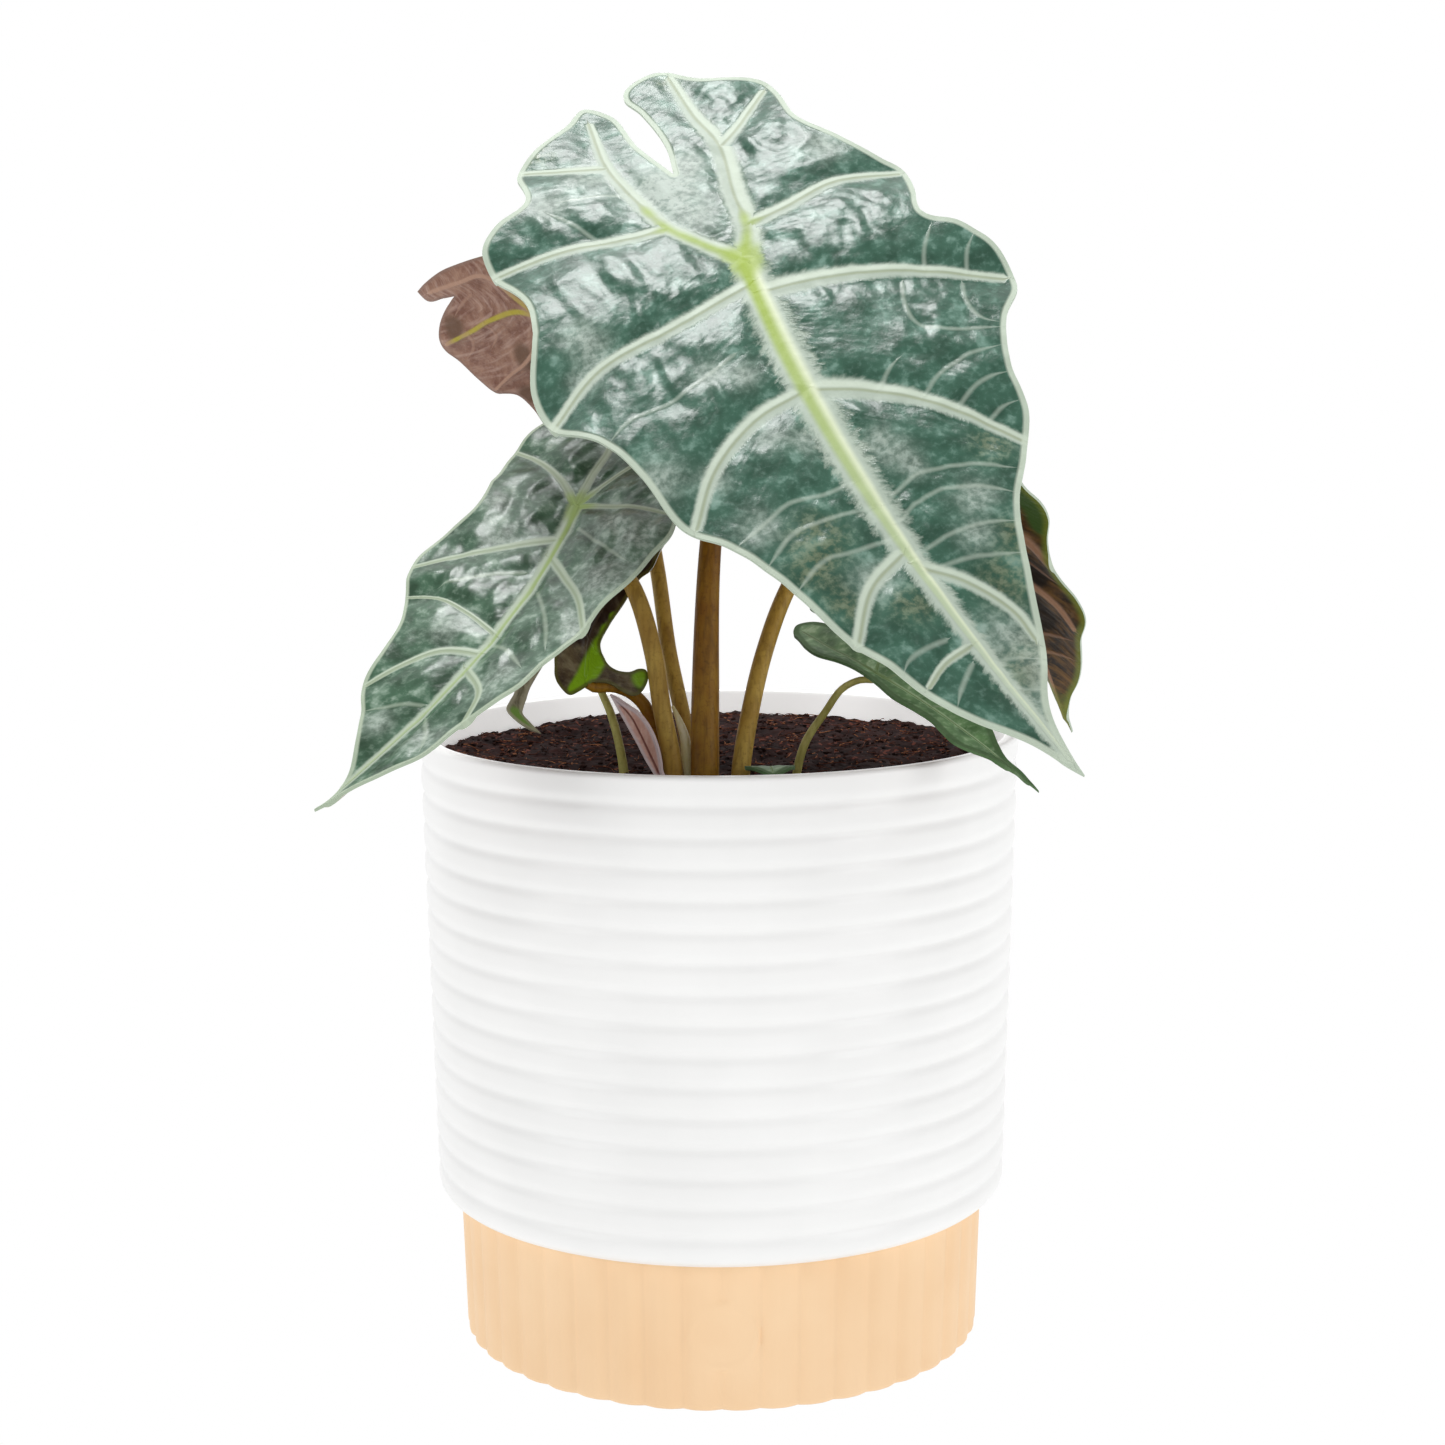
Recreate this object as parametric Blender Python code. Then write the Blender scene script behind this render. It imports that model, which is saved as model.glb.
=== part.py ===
"""Potted polly alocasia: the plant, its potting mix and its two-piece pot.

Metres, +Z up. The origin is the centre of the pot's flat underside, and the plant's front faces -Y.
Driving dimensions are in millimetres and become metres where a mesh is made.
"""
import math

import bmesh
import bpy
from mathutils import Vector
from mathutils.geometry import delaunay_2d_cdt

MM = 0.001
GAP = 0.3
SHARP_ANGLE = 40.0

# Pot: a white ribbed body whose plain foot nests in a reeded base
POT_HEIGHT = 169.0
BODY_TOP_RADIUS = 82.5
BODY_LOW_RADIUS = 79.3
BODY_LOW_Z = 40.4
BODY_WALL = 4.0
BODY_EDGE_ROUND = 5.0
RIM_ROUND = 1.2
GROOVE_COUNT = 15
FIRST_GROOVE_Z = 161.4
BAND_PITCH = 8.05
GROOVE_DEPTH = 0.8
BAND_SHOULDER = 0.2
BODY_SIDES = 36

BASE_TOP_RADIUS = 73.3
BASE_LOW_RADIUS = 72.1
BASE_WALL = 3.0
BASE_FLOOR = 3.0
BASE_EDGE = 1.2
REED_COUNT = 44
REED_DEPTH = 1.0
REED_FLATTEN = 1.15
REED_POINTS = 3

FOOT_WALL = 3.0
FOOT_FLOOR = 3.0
DRAIN_COUNT = 4
DRAIN_RADIUS = 3.0
DRAIN_RING_RADIUS = 40.0
DRAIN_SIDES = 12
DRAIN_CUT = 7.0

# Potting mix
SOIL_Z = 162.0
SOIL_LUMP = 0.7
LUMP_LENGTHS = (8.0, 9.5, 4.7, 6.1)
CROWN = (-4.0, -36.0)
CROWN_DIP = 1.2
CROWN_DIP_RADIUS = 22.0
SOIL_RINGS = (14.0, 28.0, 42.0, 55.0, 67.0)
STEM_DEPTH = 12.0
STEM_STEP = 5.0
STEM_FLARE = 1.05
HOLE_TOP_Z = 168.0
SHEATH_HOLE_RADIUS = 2.0

# Blades. The shares are of the spacing of a blade's points
BLADE_THICK = 0.8
RIB_HALF_SHARE = 0.3
VEIN_EDGE_SHARE = 0.5
FILL_EDGE_SHARE = 0.55
FILL_VEIN_SHARE = 0.6
NEAREST_SHARE = 0.35
VEIN_STEP_SHARE = 1.8
RIB_START = 8.0
SEAT_GAP = 0.4
TUBE_RESOLUTION = 2


def clear_scene():
    """Start from an empty file."""
    for old in list(bpy.data.objects):
        bpy.data.objects.remove(old, do_unlink=True)


def finish(name, colour, roughness):
    """A Principled material from a linear colour and a roughness."""
    material = bpy.data.materials.new(name)
    material.use_nodes = True
    shader = material.node_tree.nodes["Principled BSDF"]
    shader.inputs["Base Color"].default_value = (*colour, 1.0)
    shader.inputs["Roughness"].default_value = roughness
    shader.inputs["Metallic"].default_value = 0.0
    return material


def add_object(name, data, material):
    """Link a mesh or a curve as one named piece."""
    piece = bpy.data.objects.new(name, data)
    bpy.context.scene.collection.objects.link(piece)
    if material:
        piece.data.materials.append(material)
    return piece


def make_cutter(piece):
    """Mark a piece as a cutter, which is no part of the object."""
    piece.hide_render = True
    piece.display_type = "WIRE"


def mesh_from(name, points, faces):
    """A mesh whose points are given in millimetres, with its faces turned outwards."""
    mesh = bpy.data.meshes.new(name)
    mesh.from_pydata([Vector(point) * MM for point in points], [], faces)
    shape = bmesh.new()
    shape.from_mesh(mesh)
    bmesh.ops.recalc_face_normals(shape, faces=shape.faces)
    shape.to_mesh(mesh)
    shape.free()
    mesh.shade_smooth()
    mesh.set_sharp_from_angle(angle=math.radians(SHARP_ANGLE))
    return mesh


def smooth_line(points, step):
    """Points about step apart on a centripetal Catmull-Rom curve through the given points."""
    nodes = [Vector(point) for point in points]
    first = nodes[0] * 2 - nodes[1]
    last = nodes[-1] * 2 - nodes[-2]
    nodes = [first] + nodes + [last]
    line = []
    for index in range(1, len(nodes) - 2):
        a, b, c, d = nodes[index - 1:index + 3]
        knots = [0.0]
        for near, far in ((a, b), (b, c), (c, d)):
            knots.append(knots[-1] + max((far - near).length, 1e-6) ** 0.5)
        count = max(1, round((c - b).length / step))
        for part in range(count):
            t = knots[1] + (knots[2] - knots[1]) * part / count
            ab = a.lerp(b, (t - knots[0]) / (knots[1] - knots[0]))
            bc = b.lerp(c, (t - knots[1]) / (knots[2] - knots[1]))
            cd = c.lerp(d, (t - knots[2]) / (knots[3] - knots[2]))
            abc = ab.lerp(bc, (t - knots[0]) / (knots[2] - knots[0]))
            bcd = bc.lerp(cd, (t - knots[1]) / (knots[3] - knots[1]))
            line.append(abc.lerp(bcd, (t - knots[1]) / (knots[2] - knots[1])))
    line.append(nodes[-2])
    return line


def turned(name, profile, sides, material):
    """Turn a profile of (radius, z), which runs down its outer side, about the Z axis."""
    mesh = bpy.data.meshes.new(name)
    points = [(radius * MM, 0.0, z * MM) for radius, z in profile]
    mesh.from_pydata(points, [(index, index + 1) for index in range(len(points) - 1)], [])
    piece = add_object(name, mesh, material)
    screw = piece.modifiers.new("turn", "SCREW")
    screw.steps = sides
    screw.render_steps = sides
    screw.use_merge_vertices = True
    screw.merge_threshold = 0.00001
    screw.use_smooth_shade = True
    return piece


def body_radius(z):
    """Outer radius of the white body at a height, on its even taper."""
    share = (z - BODY_LOW_Z) / (POT_HEIGHT - BODY_LOW_Z)
    return BODY_LOW_RADIUS + (BODY_TOP_RADIUS - BODY_LOW_RADIUS) * share


def body_outside():
    """The white body's outer profile: rim, soft convex bands between grooves, rounded lower edge."""
    top = body_radius(POT_HEIGHT)
    profile = [(top - RIM_ROUND, POT_HEIGHT), (top, POT_HEIGHT - RIM_ROUND)]
    for band in range(GROOVE_COUNT):
        groove_z = FIRST_GROOVE_Z - band * BAND_PITCH
        profile.append((body_radius(groove_z) - GROOVE_DEPTH, groove_z))
        for share in (BAND_SHOULDER, 1 - BAND_SHOULDER):
            z = groove_z - BAND_PITCH * share
            if z > BODY_LOW_Z + BODY_EDGE_ROUND:
                profile.append((body_radius(z), z))
    for angle in (0, 30, 60, 90):
        turn = math.radians(angle)
        radius = body_radius(BODY_LOW_Z) - BODY_EDGE_ROUND * (1 - math.cos(turn))
        profile.append((radius, BODY_LOW_Z + BODY_EDGE_ROUND * (1 - math.sin(turn))))
    return profile


FOOT_RADIUS = BASE_LOW_RADIUS - BASE_WALL - GAP
FOOT_LOW_Z = BASE_FLOOR + GAP
CAVITY_STEP_Z = BODY_LOW_Z + BODY_WALL


def make_body(material, drain):
    """The white body, with the foot that nests in the base and its drained floor."""
    floor_z = FOOT_LOW_Z + FOOT_FLOOR
    inside = [
        (0.0, floor_z),
        (FOOT_RADIUS - FOOT_WALL, floor_z),
        (FOOT_RADIUS - FOOT_WALL, CAVITY_STEP_Z),
        (body_radius(CAVITY_STEP_Z) - BODY_WALL, CAVITY_STEP_Z),
        (body_radius(POT_HEIGHT) - BODY_WALL, POT_HEIGHT - RIM_ROUND),
        (body_radius(POT_HEIGHT) - BODY_WALL + RIM_ROUND, POT_HEIGHT),
    ]
    foot = [(FOOT_RADIUS, BODY_LOW_Z), (FOOT_RADIUS, FOOT_LOW_Z), (0.0, FOOT_LOW_Z)]
    body = turned("pot_body", inside + body_outside() + foot, BODY_SIDES, material)
    for index in range(DRAIN_COUNT):
        angle = math.tau * (index + 0.5) / DRAIN_COUNT
        centre = Vector((math.cos(angle), math.sin(angle), 0.0)) * DRAIN_RING_RADIUS
        centre.z = FOOT_LOW_Z + FOOT_FLOOR / 2
        cutter = add_object(f"drain_{index + 1}", drain, None)
        cutter.location = centre * MM
        make_cutter(cutter)
        cut = body.modifiers.new(cutter.name, "BOOLEAN")
        cut.operation = "DIFFERENCE"
        cut.object = cutter
    return body


def drain_mesh():
    """The plain round cutter of one drain hole."""
    mesh = bpy.data.meshes.new("drain")
    shape = bmesh.new()
    radius = DRAIN_RADIUS * MM
    bmesh.ops.create_cone(shape, cap_ends=True, segments=DRAIN_SIDES, radius1=radius, radius2=radius,
                          depth=DRAIN_CUT * MM)
    shape.to_mesh(mesh)
    shape.free()
    return mesh


def make_base(material):
    """The base: a cup with upright convex reeds outside and a plain wall inside."""
    top_z = BODY_LOW_Z - GAP
    count = REED_COUNT * REED_POINTS
    inner_radius = FOOT_RADIUS + GAP
    points = []
    for radius, z in ((BASE_LOW_RADIUS - BASE_EDGE, 0.0), (BASE_LOW_RADIUS, BASE_EDGE), (BASE_TOP_RADIUS, top_z)):
        for index in range(count):
            angle = math.tau * index / count - math.pi / 2
            share = (index % REED_POINTS) / REED_POINTS
            reed = radius - REED_DEPTH * (1 - min(1.0, REED_FLATTEN * math.sin(math.pi * share)))
            points.append((reed * math.cos(angle), reed * math.sin(angle), z))
    for z in (top_z, BASE_FLOOR):
        for index in range(count):
            angle = math.tau * index / count - math.pi / 2
            points.append((inner_radius * math.cos(angle), inner_radius * math.sin(angle), z))
    faces = []
    for ring in range(4):
        for index in range(count):
            after = (index + 1) % count
            low, high = ring * count, (ring + 1) * count
            faces.append((low + index, low + after, high + after, high + index))
    faces.append(tuple(range(count)))
    faces.append(tuple(range(4 * count, 5 * count)))
    return add_object("pot_base", mesh_from("pot_base", points, faces), material)


def soil_height(x, y):
    """Height of the potting mix: low lumps, and a shallow dip round the crown."""
    wide_x, wide_y, short_x, short_y = LUMP_LENGTHS
    lump = math.sin(x / wide_x) * math.cos(y / wide_y) + 0.5 * math.sin(x / short_x - y / short_y)
    away = math.hypot(x - CROWN[0], y - CROWN[1]) / CROWN_DIP_RADIUS
    return SOIL_Z + SOIL_LUMP * lump * min(1.0, away) - CROWN_DIP * math.exp(-away * away)


def make_soil(material, holes):
    """The potting mix, which fills the pot and has a plain hole for each stem."""
    cavity_low = FOOT_RADIUS - FOOT_WALL - GAP
    shoulder = body_radius(CAVITY_STEP_Z) - BODY_WALL - GAP
    brim = body_radius(SOIL_Z) - BODY_WALL - GAP
    lower = ((shoulder, CAVITY_STEP_Z + GAP), (cavity_low, CAVITY_STEP_Z + GAP),
             (cavity_low, FOOT_LOW_Z + FOOT_FLOOR + GAP))
    points = [(0.0, 0.0, soil_height(0.0, 0.0))]
    for radius in SOIL_RINGS + (brim,):
        for side in range(BODY_SIDES):
            angle = math.tau * side / BODY_SIDES
            x, y = radius * math.cos(angle), radius * math.sin(angle)
            points.append((x, y, SOIL_Z if radius == brim else soil_height(x, y)))
    for radius, z in lower:
        for side in range(BODY_SIDES):
            angle = math.tau * side / BODY_SIDES
            points.append((radius * math.cos(angle), radius * math.sin(angle), z))
    faces = [(0, 1 + side, 1 + (side + 1) % BODY_SIDES) for side in range(BODY_SIDES)]
    rings = len(SOIL_RINGS) + 1 + len(lower)
    for ring in range(rings - 1):
        for side in range(BODY_SIDES):
            after = (side + 1) % BODY_SIDES
            near, far = 1 + ring * BODY_SIDES, 1 + (ring + 1) * BODY_SIDES
            faces.append((near + side, far + side, far + after))
            faces.append((near + side, far + after, near + after))
    faces.append(tuple(range(1 + (rings - 1) * BODY_SIDES, 1 + rings * BODY_SIDES)))
    soil = add_object("soil", mesh_from("soil", points, faces), material)
    cut = soil.modifiers.new("stem_holes", "BOOLEAN")
    cut.operation = "DIFFERENCE"
    cut.operand_type = "COLLECTION"
    cut.collection = holes
    return soil


def make_tube(name, path, material):
    """A closed round tube along a path of (x, y, z, radius)."""
    curve = bpy.data.curves.new(name, "CURVE")
    curve.dimensions = "3D"
    curve.bevel_depth = MM
    curve.bevel_resolution = TUBE_RESOLUTION
    curve.use_fill_caps = True
    spline = curve.splines.new("POLY")
    spline.points.add(len(path) - 1)
    for point, (x, y, z, radius) in zip(spline.points, path):
        point.co = (x * MM, y * MM, z * MM, 1.0)
        point.radius = radius
    spline.use_smooth = True
    return add_object(name, curve, material)


def cut_hole(name, line, holes):
    """Add a closed tube along a line of (x, y, z, radius) to the cutters of the potting mix."""
    tube = make_tube(name, line, None)
    mesh = bpy.data.meshes.new_from_object(tube)
    bpy.data.objects.remove(tube)
    shape = bmesh.new()
    shape.from_mesh(mesh)
    bmesh.ops.remove_doubles(shape, verts=shape.verts, dist=0.01 * MM)
    bmesh.ops.recalc_face_normals(shape, faces=shape.faces)
    shape.to_mesh(mesh)
    shape.free()
    cutter = bpy.data.objects.new(name, mesh)
    make_cutter(cutter)
    holes.objects.link(cutter)


def make_stem(name, path, material, holes):
    """A stem that stands in the potting mix, and the cutter of its plain hole."""
    x, y, _, radius = path[0]
    foot = (x, y, SOIL_Z - STEM_DEPTH, radius)
    line = smooth_line([foot] + path, STEM_STEP)
    hole = [point.copy() for point in line if point[2] < HOLE_TOP_Z]
    hole[0][2] -= GAP
    for point in hole:
        point[3] += GAP
    cut_hole(f"{name}_hole", hole, holes)
    return make_tube(name, line, material)


class Leaf:
    """A leaf: where its blade joins its stem, where its tip is, and the shape between.

    In the blade's own plane x runs across from the midrib, which may bow, and y runs from the join to
    the tip. The upper surface faces the side that `face` points to. Sizes are in millimetres.
    """

    def __init__(self, name, join, tip, face, outline, veins, midrib=None, camber=0.0, vee=0.0, arch=0.0, bow=0.0,
                 half=30.0, wave=0.0, wave_length=50.0, wave_start=(0.0, 0.0), pillow=0.0, reach=6.0,
                 rib=0.8, grid=5.0):
        self.name = name
        self.join = Vector(join)
        reach_out = Vector(tip) - self.join
        self.length = reach_out.length
        self.along = reach_out / self.length
        facing = Vector(face)
        self.up = (facing - self.along * facing.dot(self.along)).normalized()
        self.across = self.up.cross(self.along)
        self.outline = outline
        self.veins = [midrib or [(0.0, 0.0), (0.0, self.length * 0.97)]] + veins
        self.camber = camber
        self.vee = vee
        self.arch = arch
        self.bow = bow
        self.half = half
        self.wave = wave
        self.wave_length = wave_length
        self.wave_start = wave_start
        self.pillow = pillow
        self.reach = reach
        self.rib = rib
        self.grid = grid

    def vein_distance(self, x, y):
        """Distance in the blade's plane to the nearest vein."""
        here = Vector((x, y))
        nearest = 1000.0
        for vein in self.veins:
            for start, end in zip(vein[:-1], vein[1:]):
                near = Vector(start)
                run = Vector(end) - near
                share = max(0.0, min(1.0, (here - near).dot(run) / run.length_squared))
                nearest = min(nearest, (here - near - run * share).length)
        return nearest

    def height(self, x, y):
        """How far the upper surface stands off the blade's plane."""
        share = y / self.length
        side = abs(x)
        edge = min(side / self.half, 1.0) ** 2
        start = self.wave_start[0] if x > 0 else self.wave_start[1]
        wave = self.wave * math.sin(math.tau * y / self.wave_length + start) * edge
        pillow = self.pillow * (1 - math.exp(-(self.vein_distance(x, y) / self.reach) ** 2))
        return 4 * self.camber * share * (1 - share) + self.vee * side - self.arch * side * side + wave + pillow

    def place(self, x, y):
        """The point of the upper surface at x across and y along."""
        share = max(0.0, min(1.0, y / self.length))
        middle = 4 * self.bow * share * (1 - share)
        return self.join + self.across * (x + middle) + self.along * y + self.up * self.height(x, y)

    def normal(self, x, y, reach=1.0):
        """The upper surface's outward direction, from its slope over a short reach."""
        over = self.place(x + reach, y) - self.place(x - reach, y)
        on = self.place(x, y + reach) - self.place(x, y - reach)
        return on.cross(over).normalized()

    def thickness(self, x, y):
        """Blade thickness, with a rib under each vein except where the stem's end meets the blade."""
        rib = self.rib * max(0.0, 1 - self.vein_distance(x, y) / (RIB_HALF_SHARE * self.grid))
        from_join = math.hypot(x, y)
        return BLADE_THICK + rib * min(1.0, max(0.0, from_join / RIB_START - 1.0))


def blade_layout(leaf):
    """The blade's points and triangles in its own plane, cut to its outline."""
    loop = []
    for stretch in leaf.outline:
        loop += smooth_line([(x, y) for x, y in stretch], leaf.grid)[:-1]
    loop = [Vector(point).to_2d() for point in loop]
    points = list(loop)
    edges = []
    edge_room = VEIN_EDGE_SHARE * leaf.grid
    for vein in leaf.veins:
        line = smooth_line(vein, leaf.grid)
        kept = [point for point in line if inside(point, loop) and clear_of(point, loop, edge_room)]
        fresh = [point for point in kept
                 if all((point - old).length > NEAREST_SHARE * leaf.grid for old in points)]
        start = len(points)
        points += fresh
        edges += [(start + index, start + index + 1) for index in range(len(fresh) - 1)
                  if (fresh[index + 1] - fresh[index]).length < VEIN_STEP_SHARE * leaf.grid]
    low = [min(point[axis] for point in loop) for axis in (0, 1)]
    high = [max(point[axis] for point in loop) for axis in (0, 1)]
    row_step = leaf.grid * math.sqrt(3) / 2
    for row in range(int((high[1] - low[1]) / row_step) + 1):
        for column in range(int((high[0] - low[0]) / leaf.grid) + 1):
            spot = Vector((low[0] + leaf.grid * (column + 0.5 * (row % 2)), low[1] + row_step * row))
            if not inside(spot, loop) or not clear_of(spot, loop, FILL_EDGE_SHARE * leaf.grid):
                continue
            if leaf.vein_distance(*spot) > FILL_VEIN_SHARE * leaf.grid:
                points.append(spot)
    ring = list(range(len(loop)))
    edges += [(index, (index + 1) % len(loop)) for index in ring]
    found = delaunay_2d_cdt(points, edges, [ring], 1, 0.001)
    return found[0], found[2]


def inside(spot, loop):
    """Whether a spot lies inside a closed loop of points."""
    within = False
    for start, end in zip(loop, loop[1:] + loop[:1]):
        if (start.y > spot.y) != (end.y > spot.y):
            if spot.x < start.x + (end.x - start.x) * (spot.y - start.y) / (end.y - start.y):
                within = not within
    return within


def clear_of(spot, loop, room):
    """Whether a spot keeps its room from a closed loop of points."""
    for start, end in zip(loop, loop[1:] + loop[:1]):
        run = end - start
        share = max(0.0, min(1.0, (spot - start).dot(run) / max(run.length_squared, 1e-9)))
        if (spot - start - run * share).length < room:
            return False
    return True


def make_blade(leaf, material):
    """The blade as one closed sheet, split into triangles alike on both faces."""
    spots, triangles = blade_layout(leaf)
    count = len(spots)
    top = [leaf.place(*spot) for spot in spots]
    under = [point - leaf.normal(*spot) * leaf.thickness(*spot) for point, spot in zip(top, spots)]
    faces = [tuple(face) for face in triangles]
    borders = {}
    for face in faces:
        for start, end in zip(face, face[1:] + face[:1]):
            borders[(start, end)] = (end, start) not in borders
            if not borders[(start, end)]:
                borders[(end, start)] = False
    back = [tuple(count + index for index in reversed(face)) for face in faces]
    rim = []
    for (start, end), lone in borders.items():
        if lone:
            rim.append((start, count + start, count + end))
            rim.append((start, count + end, end))
    mesh = mesh_from(f"{leaf.name}_blade", top + under, faces + back + rim)
    return add_object(f"{leaf.name}_blade", mesh, material)


def stem_path(leaf, route, end_radius, approach):
    """The stem's route, ended square to the underside of the blade, or as it is with no approach."""
    path = [Vector(point) for point in route]
    if approach:
        normal = leaf.normal(0.0, 0.0)
        seat = leaf.place(0.0, 0.0)
        path.append(Vector((*(seat - normal * approach), end_radius * STEM_FLARE)))
        path.append(Vector((*(seat - normal * (BLADE_THICK + SEAT_GAP)), end_radius)))
    return path


FRONT = Leaf(
    "front_leaf", join=(7.4, -22.0, 295.7), tip=(85.4, -118.0, 174.5), face=(0.05, -0.75, 0.58),
    camber=8.0, vee=0.12, arch=0.0022, bow=-10.0, half=60.0, wave=1.5, wave_length=51.0,
    wave_start=(0.28, 1.75), pillow=1.6, reach=6.0, rib=1.3, grid=7.0,
    outline=[
        [(0, 173.2), (-4.5, 162.5), (-14.5, 150.5), (-22.5, 130.5), (-28, 117), (-32, 102), (-38, 87),
         (-46.5, 73.5), (-49.5, 57.5), (-54.5, 43), (-64, 30), (-66, 18), (-62, 3), (-57.5, -12.5),
         (-59.5, -31), (-58, -39), (-51, -45.5), (-40.5, -50), (-36.5, -64), (-28.5, -71.5),
         (-15.5, -78.5), (-6.5, -85), (-1.5, -78), (-2.5, -58), (0, -41.5)],
        [(0, -41.5), (4, -55), (5.5, -73), (5, -82.5), (8.5, -87.5), (20.5, -90), (27.5, -79),
         (42.5, -68.5), (40, -45.5), (45, -33), (51.5, -19.5), (55, -13), (50, 7.5), (59, 15.5), (66, 26),
         (66, 40), (57, 51), (50.5, 65.5), (48, 80), (40, 92.5), (30.5, 104.5), (21.5, 123.5),
         (13.5, 141), (4, 156), (0, 173.2)],
    ],
    veins=[
        [(0, 0), (-7.5, -12), (-12, -21), (-14, -38), (-14, -54), (-8, -78)],
        [(-14, -54), (-25, -59), (-35, -65)],
        [(-12, -21), (-22, -22), (-40, -27), (-59, -29)],
        [(0, 0), (6.5, -11), (10, -25), (16.5, -46), (17.5, -64), (21, -86)],
        [(16.5, -46), (24, -51), (40, -65)],
        [(7, -12), (19, -13), (35, -16), (53, -12)],
        [(1, 13), (14, 16), (35, 23), (64, 36)],
        [(2, 50), (14, 57), (28, 69), (43, 88)],
        [(0, 108), (8, 118), (13, 130), (13, 138)],
        [(-1, 9), (-24, 15), (-48, 19), (-64, 30)],
        [(0, 49), (-16, 53), (-32, 63), (-43, 76)],
        [(-2, 104), (-14, 110), (-25, 122)],
    ])

LEFT = Leaf(
    "left_leaf", join=(-37.0, -30.0, 232.0), tip=(-96.4, -105.0, 164.8), face=(-0.30, -0.55, 0.78),
    camber=3.0, vee=0.2, arch=0.003, bow=12.0, half=36.0, wave=1.0, wave_length=34.0,
    wave_start=(1.0, 0.3), pillow=1.1, reach=4.5, rib=1.0, grid=6.0,
    outline=[
        [(0, 116.9), (0, 111), (-2, 105), (-8, 96), (-14, 88), (-21, 79.5), (-23.5, 68.5), (-26.5, 57.5),
         (-32, 47.5), (-36, 36.5), (-32.5, 22), (-27.5, 10.5), (-27.5, -2.5), (-31.5, -15.5), (-31, -28),
         (-28, -39), (-20, -45), (-11, -43), (-5, -36), (-1.5, -27)],
        [(-1.5, -27), (4, -37), (11, -42), (18, -38), (24, -26), (30, -12), (34, 0), (35.5, 9.5), (32, 18.5),
         (30, 32), (26.5, 42.5), (25, 53.5), (23, 62.5), (22.5, 71), (19, 77), (15, 84), (15, 93),
         (13, 98.5), (8, 105), (2.5, 110), (0, 116.9)],
    ],
    veins=[
        [(0, 0), (-10, -8), (-22, -14), (-31, -16)],
        [(0, 0), (-4, -13), (-7, -26), (-15, -41)],
        [(0, 0), (2, -12), (6, -25), (12, -38)],
        [(0, 0), (11, 0), (21, 0), (33, 2)],
        [(-1, 15), (-12, 22), (-23, 29), (-36, 39)],
        [(0, 22), (9, 30), (18, 38), (26, 49)],
        [(0, 53), (-11, 49), (-22, 47), (-31, 49)],
        [(0, 60), (-10, 63), (-16, 71), (-20, 80)],
        [(0, 66), (11, 74), (15, 84)],
    ])

BACK_LEFT = Leaf(
    "back_left_leaf", join=(-33.7, 45.0, 278.1), tip=(-89.1, 72.0, 289.4), face=(0.25, 0.85, 0.45),
    camber=-2.0, vee=0.08, arch=0.001, half=30.0, wave=0.8, wave_length=26.0, wave_start=(0.5, 2.0),
    pillow=1.0, reach=4.0, rib=0.8, grid=6.0,
    outline=[
        [(0, 62.5), (-2, 59), (0.5, 52.5), (2, 48.5)],
        [(2, 48.5), (-4, 53), (-10, 56), (-15, 56.5), (-18, 55), (-21, 50.5), (-25, 45), (-27.5, 38),
         (-27.5, 31), (-32, 26), (-38.5, 21), (-41, 10), (-38, -2), (-30, -12), (-19, -17), (-9, -15),
         (-3, -10), (0, -6)],
        [(0, -6), (4, -12), (10, -18), (17, -17), (22, -9), (24, 2), (23, 14), (20, 26), (16.5, 37.5),
         (12, 47), (8.5, 53), (4, 58.5), (0, 62.5)],
    ],
    veins=[
        [(0, 0), (-10, -6), (-22, -12)],
        [(0, 2), (-14, 4), (-38, 6)],
        [(0, 17), (-15, 25), (-26, 37)],
        [(0, 22), (-3, 36), (-8, 43), (-15, 54)],
        [(0, 0), (8, -8), (12, -15)],
        [(0, 4), (10, 7), (23, 10)],
        [(0, 20), (10, 26), (19, 29)],
    ])

BACK_RIGHT = Leaf(
    "back_right_leaf", join=(66.7, 22.0, 242.9), tip=(103.6, 46.0, 160.1), face=(0.65, 0.65, 0.40),
    camber=3.0, vee=0.10, arch=0.002, half=20.0, wave=0.8, wave_length=28.0, wave_start=(0.6, 2.2),
    pillow=0.9, reach=4.0, rib=0.8, grid=6.0,
    outline=[
        [(0, 93.8), (-1, 88), (-3.5, 82.5), (-7.5, 78), (-11, 72.5), (-14.5, 64), (-18, 58.5),
         (-17.5, 51.5), (-15.5, 44), (-15.5, 38), (-16.5, 31), (-19.5, 24.5), (-20, 18.5), (-17.5, 11),
         (-20, 3), (-21.5, -6), (-18, -16), (-11, -20), (-5, -15), (0, -8)],
        [(0, -8), (5, -16), (12, -21), (19, -17), (23, -6), (22, 6), (19, 17), (20, 28), (17.5, 40),
         (16, 52), (11, 62), (6, 70), (3, 75), (1, 80.5), (0, 93.8)],
    ],
    veins=[
        [(0, 0), (-8, -8), (-14, -16)],
        [(0, 4), (-10, 6), (-20, 4)],
        [(0, 18), (-9, 21), (-19, 22)],
        [(0, 40), (-8, 46), (-17, 57)],
        [(0, 0), (8, -8), (14, -17)],
        [(0, 6), (11, 9), (21, 6)],
        [(0, 22), (10, 25), (19, 28)],
        [(0, 44), (8, 50), (15, 54)],
    ])

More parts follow.
